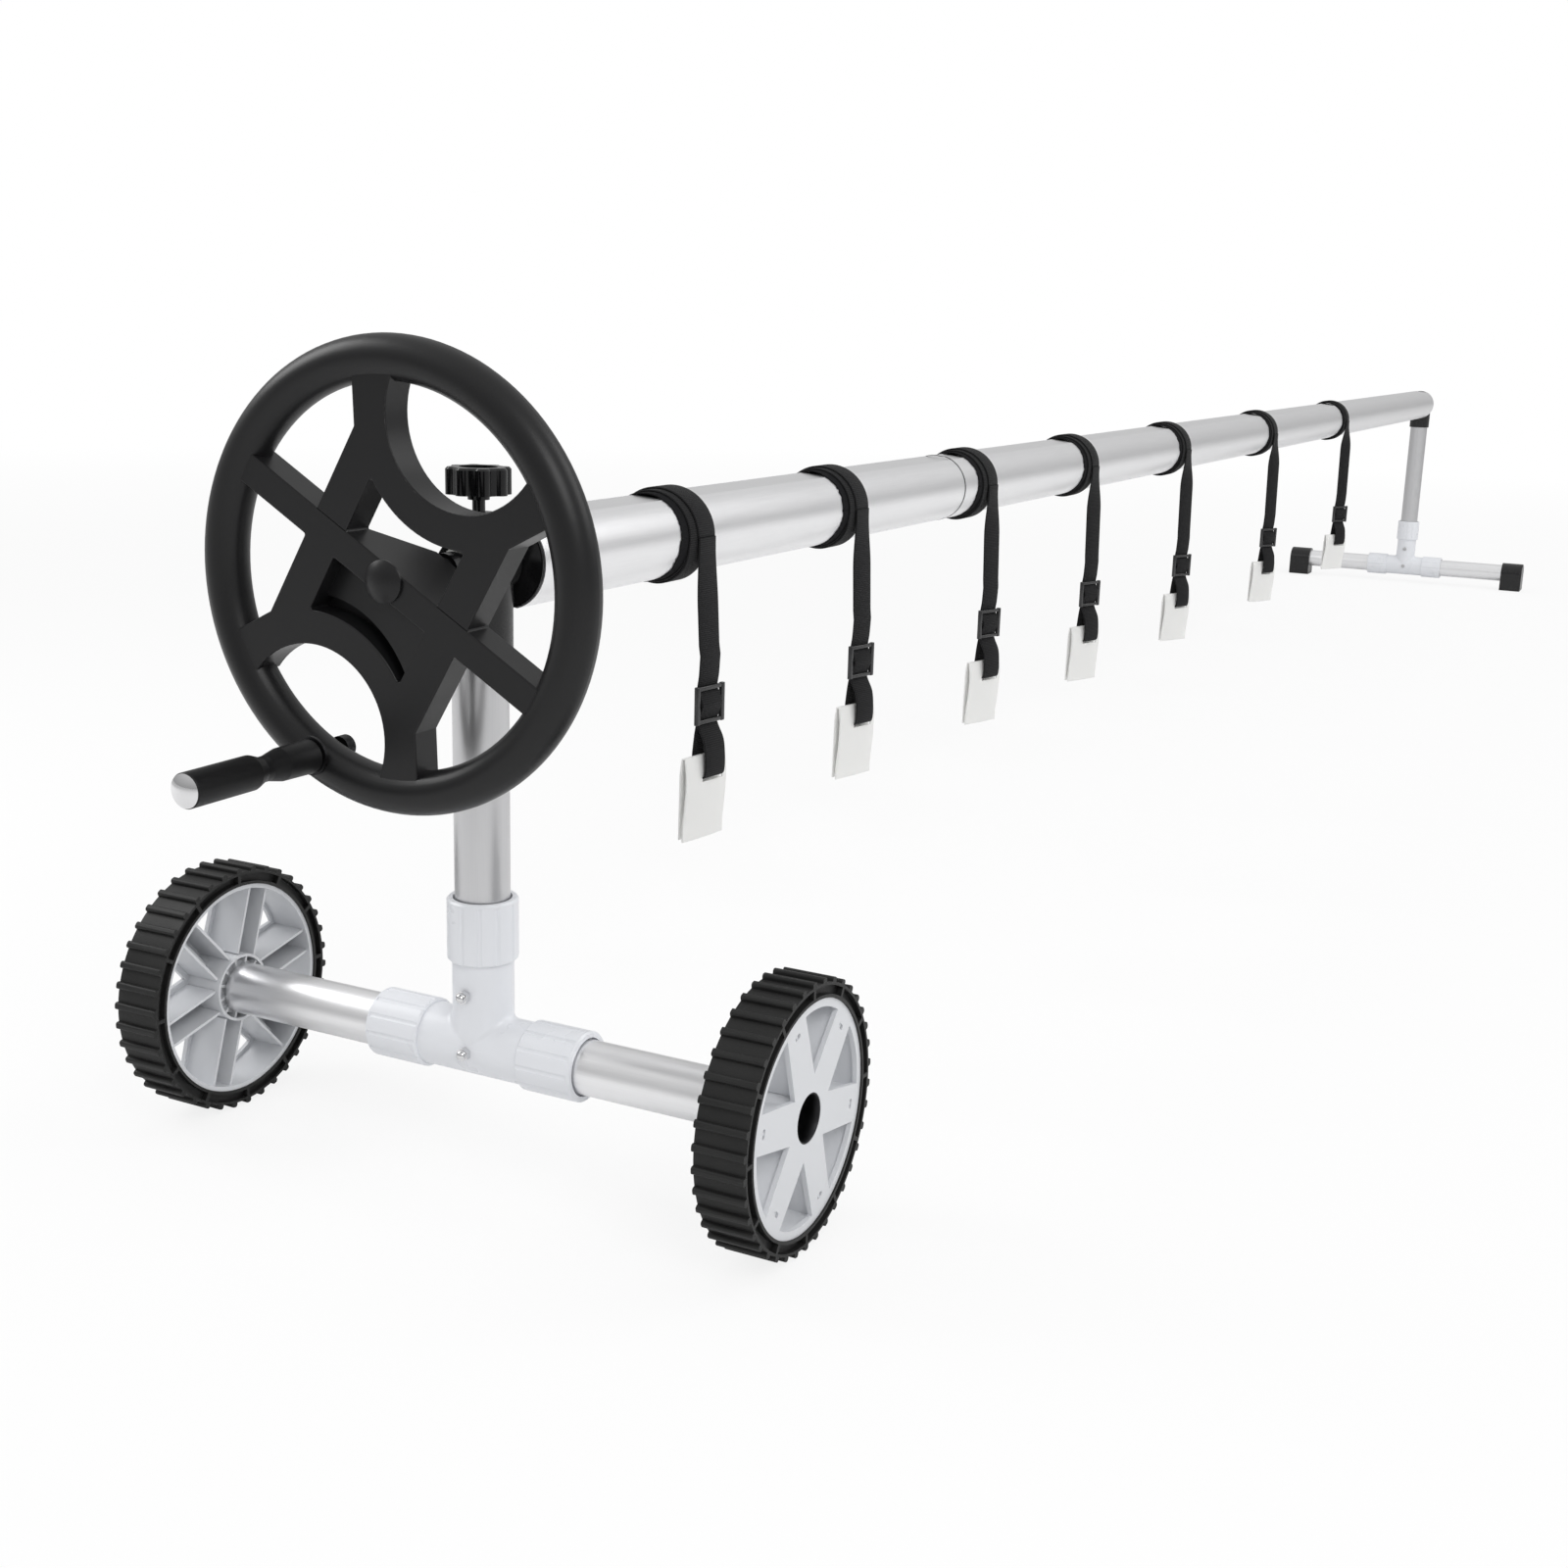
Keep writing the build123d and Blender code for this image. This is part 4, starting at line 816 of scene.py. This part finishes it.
world_tree.links.new(height.outputs["Result"], sky_mix.inputs["A"])
world_tree.links.new(world_ray.outputs["Is Camera Ray"], sky_mix.inputs["Factor"])
world_tree.links.new(sky_mix.outputs["Result"], background.inputs["Color"])

# %% Soft lamps


def softbox(name, place, target, size, power):
    """A square area lamp that points at a target."""
    lamp = bpy.data.lights.new(name, "AREA")
    lamp.size = size
    lamp.energy = power
    holder = bpy.data.objects.new(name, lamp)
    holder.location = place
    aim = Vector(target) - Vector(place)
    holder.rotation_euler = aim.to_track_quat("-Z", "Y").to_euler()
    bpy.context.scene.collection.objects.link(holder)
    return holder


near_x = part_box("near_pole")[0].x
softbox("key_lamp", (near_x - 1.6, -2.4, 2.6), (near_x, 0, 0.4), 1.6, 38)
softbox("far_lamp", (1.0, -3.0, 3.0), (1.0, 0, 0.4), 3.0, 60)
softbox("rim_lamp", (near_x - 0.4, 2.4, 2.2), (near_x, 0, 0.4), 1.4, 30)

# %% Camera
CAMERA_FROM_POLE = Vector((-1.2152, -0.8746, 0.6996))
YAW = 0.462
PITCH = 0.241
ROLL = 0.029
LENS = 43.83
eye = bpy.data.cameras.new("camera")
eye.lens = LENS
eye.sensor_width = 36.0
camera = bpy.data.objects.new("camera", eye)
forward = Vector((math.cos(YAW) * math.cos(PITCH), math.sin(YAW) * math.cos(PITCH), -math.sin(PITCH)))
right = Vector((math.sin(YAW), -math.cos(YAW), 0))
up = right.cross(forward)
leaned_right = right * math.cos(ROLL) + up * math.sin(ROLL)
leaned_up = up * math.cos(ROLL) - right * math.sin(ROLL)
pole_low, pole_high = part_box("near_pole")
spot = Vector(((pole_low.x + pole_high.x) / 2, 0, 0)) + CAMERA_FROM_POLE
facing = [(leaned_right[k], leaned_up[k], -forward[k], spot[k]) for k in range(3)]
camera.matrix_world = Matrix(facing + [(0, 0, 0, 1)])
bpy.context.scene.collection.objects.link(camera)
bpy.context.scene.camera = camera
bpy.context.scene.view_settings.view_transform = "Standard"
print("camera at", [round(value, 3) for value in spot])
